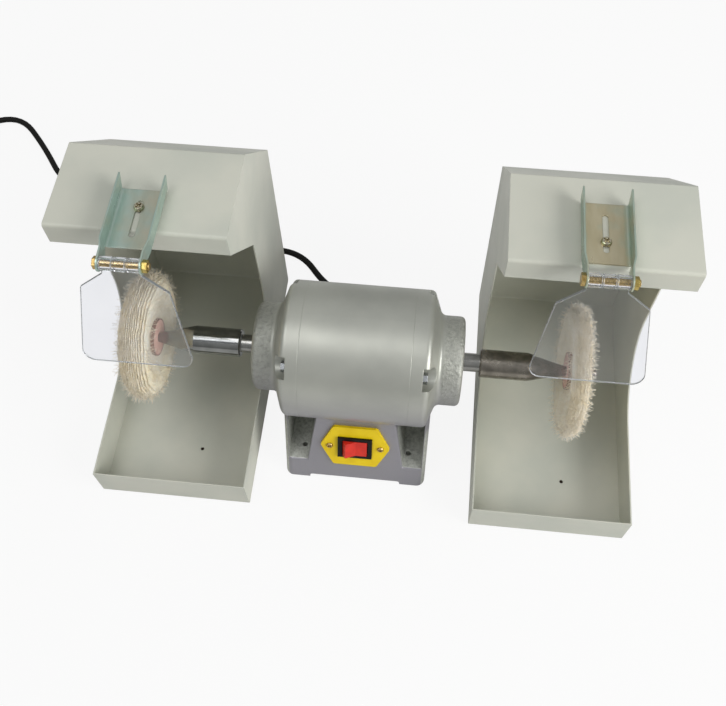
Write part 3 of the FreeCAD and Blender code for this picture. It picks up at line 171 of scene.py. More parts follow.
class Recipe:
    """A Geometry Nodes tree with named sizes, made into plain meshes."""

    def __init__(self, name: str, sizes: dict[str, float | int]) -> None:
        """Start the tree.

        Args:
            name: The tree's name.
            sizes: Its named inputs with their values, in metres or as counts.
        """
        self.name = name
        self.tree = bpy.data.node_groups.new(name, "GeometryNodeTree")
        self.values = dict(sizes)
        for label, value in sizes.items():
            kind = "NodeSocketInt" if isinstance(value, int) else "NodeSocketFloat"
            socket = self.tree.interface.new_socket(label, in_out="INPUT", socket_type=kind)
            socket.default_value = value
        self.tree.interface.new_socket("Finish", in_out="INPUT", socket_type="NodeSocketMaterial")
        self.tree.interface.new_socket("Shape", in_out="OUTPUT", socket_type="NodeSocketGeometry")
        self.sizes = self.tree.nodes.new("NodeGroupInput").outputs

    def add(self, kind: str, *values: object, **others: object) -> Node:
        """Add a node to the tree."""
        return add_node(self.tree, kind, *values, **others)

    def end(self, shape: Node) -> None:
        """Finish the tree with plain geometry in its material.

        Args:
            shape: The node whose first output is the whole shape.
        """
        real = self.add("GeometryNodeRealizeInstances", shape)
        dressed = self.add("GeometryNodeSetMaterial", real,
                           named={"Material": self.sizes["Finish"]})
        self.add("NodeGroupOutput", dressed)

    def make(self, name: str, finish: Material, crease: float = 180.0,
             **changes: float) -> Mesh:
        """Run the tree once and keep its result as a plain mesh.

        Args:
            name: The mesh's name.
            finish: The material for the Finish input.
            crease: Edges that turn by more than this many degrees stay sharp.
            changes: Values of sizes that differ from the tree's own.

        Returns:
            The mesh, closed, with its faces outwards.
        """
        host = put(name + "_host", bpy.data.meshes.new(name + "_host"))
        modifier = host.modifiers.new(self.name, "NODES")
        modifier.node_group = self.tree
        given = {**self.values, **{key.replace("_", " "): value for key, value in changes.items()}}
        for item in self.tree.interface.items_tree:
            if item.in_out == "INPUT":
                modifier[item.identifier] = finish if item.name == "Finish" else given[item.name]
        graph = bpy.context.evaluated_depsgraph_get()
        mesh = bpy.data.meshes.new_from_object(host.evaluated_get(graph))
        mesh.name = name
        bpy.data.objects.remove(host)
        close_mesh(mesh, crease)
        return mesh


# ---------------------------------------------------------------- finishes
@dataclass(frozen=True)
class Ground:
    """A material's tree, and the object coordinates that its patterns lie on."""

    tree: NodeTree
    place: NodeSocket

    def add(self, kind: str, *values: object, **others: object) -> Node:
        """Add a node to the tree."""
        return add_node(self.tree, kind, *values, **others)


@dataclass(frozen=True)
class Finish:
    """A surface with a mottled colour, an uneven gloss and a fine relief; sizes in millimetres."""

    name: str
    colour: str
    second: str
    roughness: float
    metallic: float = 0.0
    spread: float = 0.05                    # how far the roughness strays either way
    mottle: float = 25.0
    grain: float = 1.2
    depth: float = 0.02
    edge: float = 0.4                       # how much the edges look rounded
    mottle_range: tuple[float, float] = (0.38, 0.64)    # of the noise, from one colour to the other
    gloss_range: tuple[float, float] = (0.3, 0.7)
    stretch: tuple[float, float, float] = (1.0, 1.0, 1.0)
    constants: tuple[tuple[str, object], ...] = ()

    def material(self) -> Material:
        """Make the finish's material when it is first asked for.

        Returns:
            The material, the same one every time.
        """
        made = bpy.data.materials.get(self.name)
        if made is None:
            made = bpy.data.materials.new(self.name)
            made.use_nodes = True
            shader = made.node_tree.nodes["Principled BSDF"]
            for socket, value in (("Metallic", self.metallic), *self.constants):
                shader.inputs[socket].default_value = value
            self.build(made.node_tree, shader)
        return made

    def build(self, tree: NodeTree, shader: Node) -> None:
        """Join the finish's patterns to its shader.

        Args:
            tree: The material's tree.
            shader: Its Principled BSDF.
        """
        ground = Ground(tree, add_node(tree, "ShaderNodeTexCoord").outputs["Object"])
        coords = ground.add("ShaderNodeMapping", ground.place, named={"Scale": self.stretch})
        patch, height = (
            ground.add("ShaderNodeTexNoise",
                       named={"Vector": coords, "Scale": per_mm(size), "Detail": detail})
            for size, detail in ((self.mottle, 4.0), (self.grain, 3.0)))
        tone = ground.add("ShaderNodeValToRGB", patch,
                          stops=tuple(zip(self.mottle_range, (self.colour, self.second))))
        gloss = ground.add("ShaderNodeMapRange", patch, *self.gloss_range,
                           self.roughness - self.spread, self.roughness + self.spread)
        relief = ground.add("ShaderNodeBump",
                            named={"Distance": self.depth * MM, "Strength": 1.0,
                                   "Height": self.relief(ground, height.outputs[0])})
        if self.edge:
            soft = ground.add("ShaderNodeBevel", self.edge * MM, samples=4)
            tree.links.new(soft.outputs[0], relief.inputs["Normal"])
        for socket, value in (("Base Color", self.tone(ground, tone.outputs[0])),
                              ("Roughness", gloss.outputs[0]), ("Normal", relief.outputs[0])):
            tree.links.new(value, shader.inputs[socket])

    def tone(self, ground: Ground, colour: NodeSocket) -> NodeSocket:
        """Colour after the finish's own marks; the plain finish has none."""
        return colour

    def relief(self, ground: Ground, height: NodeSocket) -> NodeSocket:
        """Relief after the finish's own marks; the plain finish has none."""
        return height


@dataclass(frozen=True)
class CastLacquer(Finish):
    """Aluminium lacquer sprayed on sand castings.

    The barrel is filled and smooth, so it has long soft highlights; the bosses and the pedestal
    keep the sand's pits, which sparkle.
    """

    rough_from: float = 66.0                # where the end bells' rough skin begins, along X
    pocket_from: float = 33.0               # where the pedestal's rough pockets begin, along X
    fade: float = 3.0                       # length over which either of them begins
    pocket_depth: float = 61.0              # a pocket begins this far out, across the lean
    pocket_lip: float = 0.6
    face_lean: float = 20.0
    pedestal_top: float = 66.0
    pedestal_fade: float = 8.0
    pit: float = 2.8
    boss_pits: float = 34.0                 # height of the pits on the bosses, over the grain's
    pocket_pits: float = 12.0               # and in the pockets
    # painted shade in the sand pits: how much it darkens them, over this range of the pit noise
    pit_shade: float = 0.6
    pit_range: tuple[float, float] = (0.42, 0.66)
    seam_x: float = 43.5
    seam_half: float = 0.5
    seam_height: float = 1.6
    painted_shade_from: float = 144.0                # painted shade: the barrel turns darker and cooler below this height
    painted_shade_to: float = 96.0
    # darker, cooler colour lower down on the barrel and the pedestal: painted shade
    painted_shade_colour: str = "#98969C"
    # paler colour in the pedestal's pockets: painted light where they lie in shade
    pocket_painted_light_colour: str = "#C6C8C0"
    # darker colour of the pits: painted shade
    pit_painted_shade_colour: str = "#868780"

    def skin(self, ground: Ground) -> tuple[Node, Node, Node]:
        """Find the rough skin.

        Args:
            ground: Where the patterns lie.

        Returns:
            How much of it lies on the bosses, how much in the pockets, and its pits.
        """
        add, lean = ground.add, math.radians(self.face_lean)
        axes = add("ShaderNodeSeparateXYZ", ground.place)
        along, outward = (add("ShaderNodeMath", axes.outputs[i], operation="ABSOLUTE")
                          for i in (0, 1))
        boss = add("ShaderNodeMapRange", along, self.rough_from * MM,
                   (self.rough_from + self.fade) * MM)
        below = add("ShaderNodeMapRange", axes.outputs[2],
                    (self.pedestal_top - self.pedestal_fade) * MM, self.pedestal_top * MM, 1.0, 0.0)
        outward = add("ShaderNodeMath", outward, math.cos(lean), operation="MULTIPLY")
        outward = add("ShaderNodeMath", axes.outputs[2], math.sin(lean), outward,
                      operation="MULTIPLY_ADD")
        inside = add("ShaderNodeMapRange", outward, (self.pocket_depth - self.pocket_lip) * MM,
                     self.pocket_depth * MM, below, 0.0)
        pocket = add("ShaderNodeMapRange", along, self.pocket_from * MM,
                     (self.pocket_from + self.fade) * MM, 0.0, inside)
        pits = add("ShaderNodeTexNoise",
                   named={"Vector": ground.place, "Scale": per_mm(self.pit), "Detail": 4.0,
                          "Roughness": 0.7})
        return boss, pocket, pits

    def relief(self, ground: Ground, height: NodeSocket) -> NodeSocket:
        """Add the sand pits towards the ends and the fine seam beside each bell.

        Args:
            ground: Where the patterns lie.
            height: The plain relief.

        Returns:
            The joined relief.
        """
        add = ground.add
        boss, pocket, pits = self.skin(ground)
        boss = add("ShaderNodeMath", boss, self.boss_pits, operation="MULTIPLY")
        skin = add("ShaderNodeMath", pocket, self.pocket_pits, boss, operation="MULTIPLY_ADD")
        rough = add("ShaderNodeMath", pits, skin, height, operation="MULTIPLY_ADD")
        along = add("ShaderNodeSeparateXYZ", ground.place).outputs[0]
        along = add("ShaderNodeMath", along, operation="ABSOLUTE")
        off = add("ShaderNodeMath", along, self.seam_x * MM, operation="SUBTRACT")
        off = add("ShaderNodeMath", off, operation="ABSOLUTE")
        seam = add("ShaderNodeMapRange", off, 0.0, self.seam_half * MM, self.seam_height, 0.0)
        return add("ShaderNodeMath", rough, seam, operation="ADD").outputs[0]

    def tone(self, ground: Ground, colour: NodeSocket) -> NodeSocket:
        """Darker, cooler colour lower down as painted shade, paler colour in the pockets as painted
        light, darker pits as painted shade.

        Args:
            ground: Where the patterns lie.
            colour: The barrel's colour.

        Returns:
            The mixed colour.
        """
        add = ground.add
        rise = add("ShaderNodeSeparateXYZ", ground.place).outputs[2]
        # painted shade: darker and cooler towards the bottom of the barrel and over the pedestal
        painted_shade = add("ShaderNodeMapRange", rise, self.painted_shade_to * MM, self.painted_shade_from * MM, 1.0, 0.0)
        boss, pocket, pits = self.skin(ground)
        # painted shade in the pits of the rough skin
        skin = add("ShaderNodeMath", boss, pocket, operation="MAXIMUM")
        skin = add("ShaderNodeMath", skin, self.pit_shade, operation="MULTIPLY")
        pit_painted_shade = add("ShaderNodeMapRange", pits, *self.pit_range, 0.0, skin)
        # painted shade lower down, painted light in the pockets and painted shade in the pits, in
        # turn
        for share, layer in ((painted_shade, self.painted_shade_colour), (pocket, self.pocket_painted_light_colour),
                             (pit_painted_shade, self.pit_painted_shade_colour)):
            colour = add("ShaderNodeMix", share, data_type="RGBA",
                         named={UNDER: colour, OVER: srgb(layer)}).outputs[MIXED]
        return colour


@dataclass(frozen=True)
class RolledZinc(Finish):
    """Zinc-plated sheet steel: bright spangles drawn out by the rolls, tinted by its passivation.

    The tint drifts across the sheet from a blue-green to a straw colour, as a thin film does.
    """

    tint_from: str = "#A2C2B6"
    tint_to: str = "#C2BA9B"
    tint_range: tuple[float, float] = (0.3, 0.9)
    tint_share: float = 0.6
    cloud: float = 14.0
    centre_x: float = 0.0
    ear_x: float = 16.0                     # where the plate turns up into its ears
    ear_bend: float = 4.0
    plate_tint: tuple[float, float] = (-0.2, 0.4)       # left and right edge of the plate
    ear_tint: float = -0.2

    def tone(self, ground: Ground, colour: NodeSocket) -> NodeSocket:
        """Lay the passivation's tint over the zinc.

        Args:
            ground: Where the patterns lie.
            colour: The bare zinc.

        Returns:
            The tinted colour.
        """
        add = ground.add
        along = add("ShaderNodeSeparateXYZ", ground.place).outputs[0]
        cloud = add("ShaderNodeTexNoise",
                    named={"Vector": ground.place, "Scale": per_mm(self.cloud), "Detail": 2.0})
        off = add("ShaderNodeMath", along, self.centre_x * MM, operation="SUBTRACT")
        plate = add("ShaderNodeMapRange", off, -self.ear_x * MM, self.ear_x * MM, *self.plate_tint)
        off = add("ShaderNodeMath", off, operation="ABSOLUTE")
        across = add("ShaderNodeMapRange", off, (self.ear_x - self.ear_bend) * MM,
                     self.ear_x * MM, plate, self.ear_tint)
        drift = add("ShaderNodeMath", across, cloud, operation="ADD")
        film = add("ShaderNodeValToRGB", drift,
                   stops=tuple(zip(self.tint_range, (self.tint_from, self.tint_to))))
        return add("ShaderNodeMix", self.tint_share, data_type="RGBA",
                   named={UNDER: colour, OVER: film}).outputs[MIXED]


@dataclass(frozen=True)
class TurnedSteel(Finish):
    """Steel turned on a lathe: fine rings round the shaft, which draw the light out along it."""

    pitch: float = 0.6                      # coarser than a real feed, so that the rings show
    drawn: tuple[float, float, float] = (1.0, 0.02, 0.02)
    ring_depth: float = 1.5

    def relief(self, ground: Ground, height: NodeSocket) -> NodeSocket:
        """Add the tool's rings.

        Args:
            ground: Where the patterns lie.
            height: The plain relief.

        Returns:
            The joined relief.
        """
        along = ground.add("ShaderNodeMapping", ground.place, named={"Scale": self.drawn})
        rings = ground.add("ShaderNodeTexNoise",
                           named={"Vector": along, "Scale": per_mm(self.pitch), "Detail": 2.0})
        return ground.add("ShaderNodeMath", rings, self.ring_depth, height,
                          operation="MULTIPLY_ADD").outputs[0]


@dataclass(frozen=True)
class RimStained(Finish):
    """Vegetable-tanned leather disc: soft pink face and a darker, compressed rim."""

    rim_colour: str = "#7C5848"
    rim_r: float = 15.5
    stain: tuple[float, float] = (1.6, 0.3)             # it begins and is full this far inside
    stain_share: float = 0.9

    def tone(self, ground: Ground, colour: NodeSocket) -> NodeSocket:
        """Darken the disc towards its rim.

        Args:
            ground: Where the patterns lie.
            colour: The face's colour.

        Returns:
            The mixed colour.
        """
        add = ground.add
        flat = add("ShaderNodeMapping", ground.place, vector_type="TEXTURE",
                   named={"Location": (0.0, 0.0, AXIS_Z * MM)})
        flat = add("ShaderNodeVectorMath", flat, (0.0, 1.0, 1.0), operation="MULTIPLY")
        away = add("ShaderNodeVectorMath", flat, operation="LENGTH").outputs["Value"]
        rim = add("ShaderNodeMapRange", away, *((self.rim_r - step) * MM for step in self.stain),
                  0.0, self.stain_share)
        return add("ShaderNodeMix", rim, data_type="RGBA",
                   named={UNDER: colour, OVER: srgb(self.rim_colour)}).outputs[MIXED]


@dataclass(frozen=True)
class Cotton(Finish):
    """Unbleached cotton flannel: matt and soft, with threads that catch the light at the edges."""

    # darker colour of the streaks: painted shade in the hollows between plies
    hollow_painted_shade: str = "#DDCBA4"
    hollow_painted_shade_share: float = 0.6
    streak: float = 2.6
    streak_range: tuple[float, float] = (0.5, 0.7)
    drawn: tuple[float, float, float] = (1.0, 0.1, 0.1)

    def tone(self, ground: Ground, colour: NodeSocket) -> NodeSocket:
        """Draw darker streaks round the wheel, painted shade in the hollows between the plies'
        edges.

        Args:
            ground: Where the patterns lie.
            colour: The cloth's colour.

        Returns:
            The streaked colour.
        """
        add = ground.add
        drawn = add("ShaderNodeMapping", ground.place, named={"Scale": self.drawn})
        streak = add("ShaderNodeTexNoise",
                     named={"Vector": drawn, "Scale": per_mm(self.streak), "Detail": 3.0})
        depth = add("ShaderNodeMapRange", streak, *self.streak_range, 0.0, self.hollow_painted_shade_share)
        return add("ShaderNodeMix", depth, data_type="RGBA",
                   named={UNDER: colour, OVER: srgb(self.hollow_painted_shade)}).outputs[MIXED]


@dataclass(frozen=True)
class ClearAcrylic(Finish):
    """Cast acrylic sheet: clear with a faint cool tint, and saved from casting a solid shadow."""

    shadow: str = "#E4E6E8"

    def build(self, tree: NodeTree, shader: Node) -> None:
        """Join the clear sheet's shader, and let light pass through it to what lies behind.

        Args:
            tree: The material's tree.
            shader: Its Principled BSDF.
        """
        super().build(tree, shader)
        shadow_ray = add_node(tree, "ShaderNodeLightPath").outputs["Is Shadow Ray"]
        through = add_node(tree, "ShaderNodeBsdfTransparent", srgb(self.shadow))
        mixed = add_node(tree, "ShaderNodeMixShader", shadow_ray, shader, through)
        tree.links.new(mixed.outputs[0], tree.nodes["Material Output"].inputs["Surface"])


@dataclass(frozen=True)
class PaleFloor(Finish):
    """Matt paper that keeps the shadow and returns near white to the camera.

    Its second colour is painted shade on the floor under the hoods' drain holes.
    """

    glow: float = 0.89                      # how much of it glows white to the camera
    mirror_glow: float = 0.15               # and how much in polished metal
    drain_holes: tuple[tuple[float, float], ...] = ((-141.5, -50.0), (183.5, -50.0))
    drain_shade: float = 2.2                # radius of the painted shade under a drain hole, dark and without the glow

    def build(self, tree: NodeTree, shader: Node) -> None:
        """Let the paper glow to the camera, but paint shade under the drain holes.

        Args:
            tree: The material's tree.
            shader: Its Principled BSDF.
        """
        shader.inputs["Roughness"].default_value = self.roughness
        ground = Ground(tree, add_node(tree, "ShaderNodeTexCoord").outputs["Object"])
        add, rays = ground.add, ground.add("ShaderNodeLightPath").outputs
        seen = add("ShaderNodeMath", rays["Is Camera Ray"], rays["Is Transmission Ray"],
                   operation="MAXIMUM")
        seen = add("ShaderNodeMath", seen, self.glow, operation="MULTIPLY")
        mirror = add("ShaderNodeMath", rays["Is Glossy Ray"], self.mirror_glow,
                     operation="MULTIPLY")
        seen = add("ShaderNodeMath", seen, mirror, operation="MAXIMUM")
        tone = srgb(self.colour)
        # painted shade: dark paper without the glow under each drain hole
        for x, y in self.drain_holes:
            away = add("ShaderNodeVectorMath", ground.place, (x * MM, y * MM, 0.0),
                       operation="DISTANCE").outputs["Value"]
            clear = add("ShaderNodeMath", away, self.drain_shade * MM, operation="GREATER_THAN")
            seen = add("ShaderNodeMath", seen, clear, operation="MULTIPLY")
            tone = add("ShaderNodeMix", clear, data_type="RGBA",
                       named={UNDER: srgb(self.second), OVER: tone}).outputs[MIXED]
        tree.links.new(tone, shader.inputs["Base Color"])
        glow = add("ShaderNodeEmission", WHITE, 1.0)
        mixed = add("ShaderNodeMixShader", seen, shader, glow)
        tree.links.new(mixed.outputs[0], tree.nodes["Material Output"].inputs["Surface"])


def dress(finish: Finish, *names: str) -> list[Object]:
    """Give CAD nodes a finish.

    Args:
        finish: The finish.
        names: The nodes that get it.

    Returns:
        The nodes' objects.
    """
    nodes = [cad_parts[name] for name in names]
    for node in nodes:
        if not node.material_slots:
            node.data.materials.append(None)
        for slot in node.material_slots:
            slot.material = finish.material()
    return nodes


# Bright zinc plating on small steel parts: a cool mirror with fine scratches.
BRIGHT_ZINC = Finish("bright_zinc_plating", "#C6C9CB", "#AEB2B6", 0.26, 1.0, mottle=3.0, grain=0.5)
# Yellow chromate over zinc: the brassy gold of passivated nuts and bolts.
YELLOW_ZINC = Finish("yellow_chromate_zinc", "#C9B36A", "#A99352", 0.28, 1.0, mottle=3.0, grain=0.5)
# Turned brass: warm metal with a soft polish.
BRASS = Finish("turned_brass", "#CCB278", "#AB8F55", 0.28, 1.0, mottle=2.0, grain=0.4)
# Zinc plating aged to a pale straw on the clamp screws.
STRAW_ZINC = Finish("straw_zinc_plating", "#CFC8B2", "#B0A68C", 0.24, 1.0, mottle=2.0, grain=0.4)
# Blackened steel: an oiled oxide skin, nearly black with a satin gloss.
BLACK_STEEL = Finish("black_oxide_steel", "#2B2B2C", "#3A3936", 0.38, 1.0, mottle=3.0, grain=0.5)
# Ground bearing steel: clean and mirror bright.
GROUND_STEEL = Finish("ground_bearing_steel", "#B9BCBE", "#A7AAAD", 0.18, 1.0, mottle=4.0,
                      grain=0.3, depth=0.005)


# ---------------------------------------------------------------- motor
@dataclass
class Motor:
    """Cast motor housing on its pedestal, with what is inside it."""

    # Aluminium lacquer: fine metal flake in a clear binder, satin with a soft metallic lift.
    lacquer: Finish = CastLacquer("aluminium_lacquer", "#B7B8AF", "#ABACA4", 0.4, 0.55,
                                  spread=0.03, mottle=45.0, grain=0.9, depth=0.03, edge=0.9,
                                  constants=(("Coat Weight", 0.1), ("Coat Roughness", 0.3)))
    # Galvanised plate under the pedestal: grey spangles.
    galvanised: Finish = Finish("galvanised_plate", "#A9ADAF", "#8F9497", 0.45, 1.0, mottle=6.0)
    # Stacked silicon-steel laminations: thin dull lines across the stack.
    lamination: Finish = Finish("silicon_steel_laminations", "#6E6F71", "#505255", 0.5, 1.0,
                                mottle=1.0, grain=0.6, depth=0.08, stretch=(1.0, 0.05, 0.05))
    # Enamelled copper wire: reddish brown with a varnish gloss.
    winding: Finish = Finish("enamelled_copper_wire", "#A85B33", "#7E3F22", 0.32, 0.8, mottle=2.0,
                             grain=0.8, depth=0.2, stretch=(0.2, 1.0, 1.0))
    # Die-cast aluminium: pale matt grey with flow marks.
    aluminium: Finish = Finish("die_cast_aluminium", "#B2B4B5", "#9C9FA1", 0.48, 1.0, mottle=8.0)
    # Glass-filled nylon: dark matt plastic with a faint speckle.
    nylon: Finish = Finish("glass_filled_nylon", "#33363A", "#3F4347", 0.55, mottle=2.0, grain=0.5)
    # Capacitor can: spun aluminium in a pale lacquer.
    can: Finish = Finish("lacquered_capacitor_can", "#C9CBCC", "#BDBFC1", 0.35, 0.6, mottle=12.0)
    # Thermoset terminal block: off-white and slightly waxy.
    terminal: Finish = Finish("melamine_terminal_block", "#D8D4C4", "#CBC6B4", 0.42, mottle=6.0)

    def build(self) -> list[Object]:
        """Dress the motor's castings and its inner parts.

        Returns:
            The dressed nodes.
        """
        return [
            *dress(self.lacquer, "motor_housing", "end_bell_left", "end_bell_right"),
            *dress(BRIGHT_ZINC, "end_bell_bolts", "bottom_cover_screws", "terminal_screws",
                   "capacitor_clip"),
            *dress(self.galvanised, "bottom_cover"),
            *dress(self.lamination, "stator_core", "rotor_core"),
            *dress(self.winding, "stator_winding"),
            *dress(self.aluminium, "rotor_cage_rings"),
            *dress(self.nylon, "cooling_fan"),
            *dress(GROUND_STEEL, "bearing_outer_rings", "bearing_inner_rings", "bearing_balls"),
            *dress(self.can, "run_capacitor"),
            *dress(self.terminal, "terminal_block"),
        ]


# ---------------------------------------------------------------- spindles and buffs
@dataclass
class Spindles:
    """Shaft and tapered spindles, with the leather discs that back the buffs."""

    # Chromed steel: a clean mirror with faint polishing rings.
    chrome: Finish = TurnedSteel("polished_chromed_steel", "#989997", "#878886", 0.11, 1.0,
                                 spread=0.03, mottle=10.0, grain=0.4, depth=0.006, edge=0.3)
    # Bare turned steel: darker, with tool marks and a thin oil film.
    turned: Finish = TurnedSteel("turned_bare_steel", "#938D83", "#79746C", 0.3, 1.0, mottle=8.0,
                                 grain=0.4, depth=0.012, edge=0.3)
    # Ground shaft steel: even satin.
    shaft: Finish = TurnedSteel("ground_shaft_steel", "#A3A29E", "#8E8D8A", 0.22, 1.0, mottle=8.0,
                                grain=0.4, depth=0.008, edge=0.2)
    # Leather dyed a dusty pink: matt, with a fine grain and a cut rim.
    leather: Finish = RimStained("dusty_pink_leather", "#E4BAA8", "#D6A896", 0.68, mottle=5.0,
                                 grain=0.9, depth=0.12, edge=0.5)

    def build(self) -> list[Object]:
        """Dress the turning steel and the leather.

        Returns:
            The dressed nodes.
        """
        return [
            *dress(self.shaft, "motor_shaft"),
            *dress(self.chrome, "spindle_left"),
            *dress(self.turned, "spindle_right"),
            *dress(BLACK_STEEL, "spindle_set_screws"),
            *dress(self.leather, "leather_discs_left", "leather_discs_right"),
        ]


@dataclass
class Buffs:
    """Two loose cotton buffs of many plies with frayed edges; sizes in millimetres."""

    centre_x: float = 176.0
    rim_r: float = 52.0
    bore_r: float = 4.4
    hub_r: float = 17.0
    hub_half: float = 4.4
    rim_half: tuple[float, float] = (10.5, 6.2)         # the right buff is packed closer
    dish: tuple[float, float] = (0.0, -3.8)             # and its rim leans to the motor
    seeds: tuple[int, int] = (3, 4)
    plies: int = 14
    ply_thickness: float = 3.1
    grid: tuple[int, int] = (113, 19)       # points round the wheel and round a ply's section
    crown: float = 0.85                     # how far the outer plies draw in, 1 for a half circle
    ripple: float = 4.6
    fold: float = 13.0                      # width of one ripple
    fold_step: float = 1.6                  # how far the ripples change from ply to ply
    ragged: float = 4.6
    tatters: float = 5.0                    # how finely an edge is ragged
    seed_step: float = 7.3                  # between the patterns of two seeds
    edge_fringe: tuple[float, float] = (0.90, 0.985)    # of the way to a ply's edge
    face_fringe: tuple[float, float] = (0.9, 1.0)       # of the way to the outer plies
    face_share: float = 0.4                 # fibres on a face, against those on an edge
    fibre_length: float = 4.6
    fibre_r: float = 0.12
    fibre_tip: float = 0.35                 # a tip's radius against the root's
    fibre_curl: tuple[tuple[float, float, float], ...] = ((0.35, 0.05, 0.5), (0.75, 0.25, 0.9))
    fibre_grown: tuple[float, float] = (0.35, 1.25)     # the shortest and the longest
    fibre_lean: float = 0.9                 # in radians
    fibres_per_mm2: float = 0.34
    # Unbleached cotton: cream, matt, with a velvety sheen where fibres stand up.
    cotton: Finish = Cotton("unbleached_cotton", "#FFF2D8", "#F8E8C6", 0.86, spread=0.05,
                            mottle=9.0, grain=0.9, depth=0.12, edge=0.0,
                            constants=(("Sheen Weight", 0.35), ("Sheen Roughness", 0.5),
                                       ("Specular IOR Level", 0.2), ("Subsurface Weight", 0.5),
                                       ("Subsurface Scale", 0.004),
                                       ("Subsurface Radius", (1.0, 0.85, 0.7))))

    def recipe(self) -> Recipe:
        """Grow the plies and their frayed fibres from the buff's sizes.

        Returns:
            The buffs' tree.
        """
        made = Recipe("loose_cotton_buff", {
            "Centre X": self.centre_x * MM, "Axis Z": AXIS_Z * MM, "Rim radius": self.rim_r * MM,
            "Bore radius": self.bore_r * MM, "Hub radius": self.hub_r * MM,
            "Hub half": self.hub_half * MM, "Rim half": self.rim_half[0] * MM, "Dish": 0.0,
            "Plies": self.plies, "Ply thickness": self.ply_thickness * MM,
            "Ripple": self.ripple * MM, "Ragged": self.ragged * MM,
            "Fibre length": self.fibre_length * MM, "Fibre radius": self.fibre_r * MM,
            "Fibres": self.fibres_per_mm2 / MM ** 2, "Seed": self.seeds[0],
        })
        add, size = made.add, made.sizes

        # one flat sheet per ply: across is the angle, up is the way round its cross-section
        sheet = add("GeometryNodeMeshGrid", 1.0, 1.0, *self.grid).outputs["Mesh"]
        last = add("ShaderNodeMath", size["Plies"], 1.0, operation="SUBTRACT")
        stack = add("GeometryNodeMeshLine", size["Plies"], named={"Offset": (0.0, 0.0, 1.0)})
        sheets = add("GeometryNodeInstanceOnPoints", stack, named={"Instance": sheet})
        sheets = add("GeometryNodeRealizeInstances", sheets)
        axes = add("ShaderNodeSeparateXYZ", add("GeometryNodeInputPosition"))
        ply = axes.outputs[2]
        round_hub, round_ply = (
            add("ShaderNodeMath", axes.outputs[i], TURN, operation="MULTIPLY") for i in (0, 1))
        (cos, sin), (outward, sideways) = (
            [add("ShaderNodeMath", angle, operation=kind) for kind in ("COSINE", "SINE")]
            for angle in (round_hub, round_ply))
        place = add("ShaderNodeMapRange", ply, 0.0, last, -1.0, 1.0)

        # outer plies are shorter, so the rim is round; each edge is ragged
        square = add("ShaderNodeMath", place, place, operation="MULTIPLY")
        crown = add("ShaderNodeMath", square, -self.crown, 1.0, operation="MULTIPLY_ADD")
        crown = add("ShaderNodeMath", crown, operation="SQRT")
        inner = add("ShaderNodeMath", size["Rim radius"], size["Rim half"], operation="SUBTRACT")
        reach = add("ShaderNodeMath", crown, size["Rim half"], inner, operation="MULTIPLY_ADD")
        seed = add("ShaderNodeMath", size["Seed"], self.seed_step, operation="MULTIPLY")
        turn = add("ShaderNodeCombineXYZ", cos, sin, ply)
        tatter = add("ShaderNodeTexNoise", noise_dimensions="4D",
                     named={"Vector": turn, "W": seed, "Scale": self.tatters, "Detail": 4.0})
        tatter = add("ShaderNodeMath", tatter, 0.5, operation="SUBTRACT")
        reach = add("ShaderNodeMath", tatter, size["Ragged"], reach, operation="MULTIPLY_ADD")
        radius = add("ShaderNodeMapRange", outward, -1.0, 1.0, size["Bore radius"], reach)

        # plies fan out from the hub and ripple together
        spread = add("ShaderNodeMapRange", radius, size["Hub radius"], inner,
                     size["Hub half"], size["Rim half"], interpolation_type="SMOOTHSTEP")
        depth = add("ShaderNodeMath", ply, self.fold_step * MM, operation="MULTIPLY")
        y, z = (add("ShaderNodeMath", way, radius, operation="MULTIPLY") for way in (cos, sin))
        fold = add("ShaderNodeTexNoise", noise_dimensions="4D",
                   named={"Vector": add("ShaderNodeCombineXYZ", depth, y, z), "W": seed,
                          "Scale": per_mm(self.fold), "Detail": 4.0})
        fold = add("ShaderNodeMath", fold, 0.5, operation="SUBTRACT")
        loose = add("ShaderNodeMapRange", radius, size["Hub radius"], size["Rim radius"],
                    0.0, size["Ripple"])
        dish = add("ShaderNodeMapRange", radius, size["Hub radius"], inner, 0.0, size["Dish"],
                   interpolation_type="SMOOTHSTEP")
        x = add("ShaderNodeMath", place, spread, dish, operation="MULTIPLY_ADD")
        x = add("ShaderNodeMath", fold, loose, x, operation="MULTIPLY_ADD")
        half = add("ShaderNodeMath", size["Ply thickness"], 0.5, operation="MULTIPLY")
        x = add("ShaderNodeMath", sideways, half, x, operation="MULTIPLY_ADD")
        x = add("ShaderNodeMath", x, size["Centre X"], operation="ADD")
        z = add("ShaderNodeMath", z, size["Axis Z"], operation="ADD")
        edge = add("ShaderNodeMapRange", outward, *self.edge_fringe, 0.0, 1.0)
        face = add("ShaderNodeMapRange", square, *self.face_fringe, 0.0, self.face_share)
        fringe = add("ShaderNodeMath", edge, face, operation="MAXIMUM")
        cloth = add("GeometryNodeStoreNamedAttribute", sheets, data_type="FLOAT",
                    named={"Name": "fringe", "Value": fringe})
        cloth = add("GeometryNodeSetPosition", cloth,
                    named={"Position": add("ShaderNodeCombineXYZ", x, y, z)})
        cloth = add("GeometryNodeMergeByDistance", cloth, named={"Distance": WELD})
        cloth = add("GeometryNodeSetShadeSmooth", cloth)

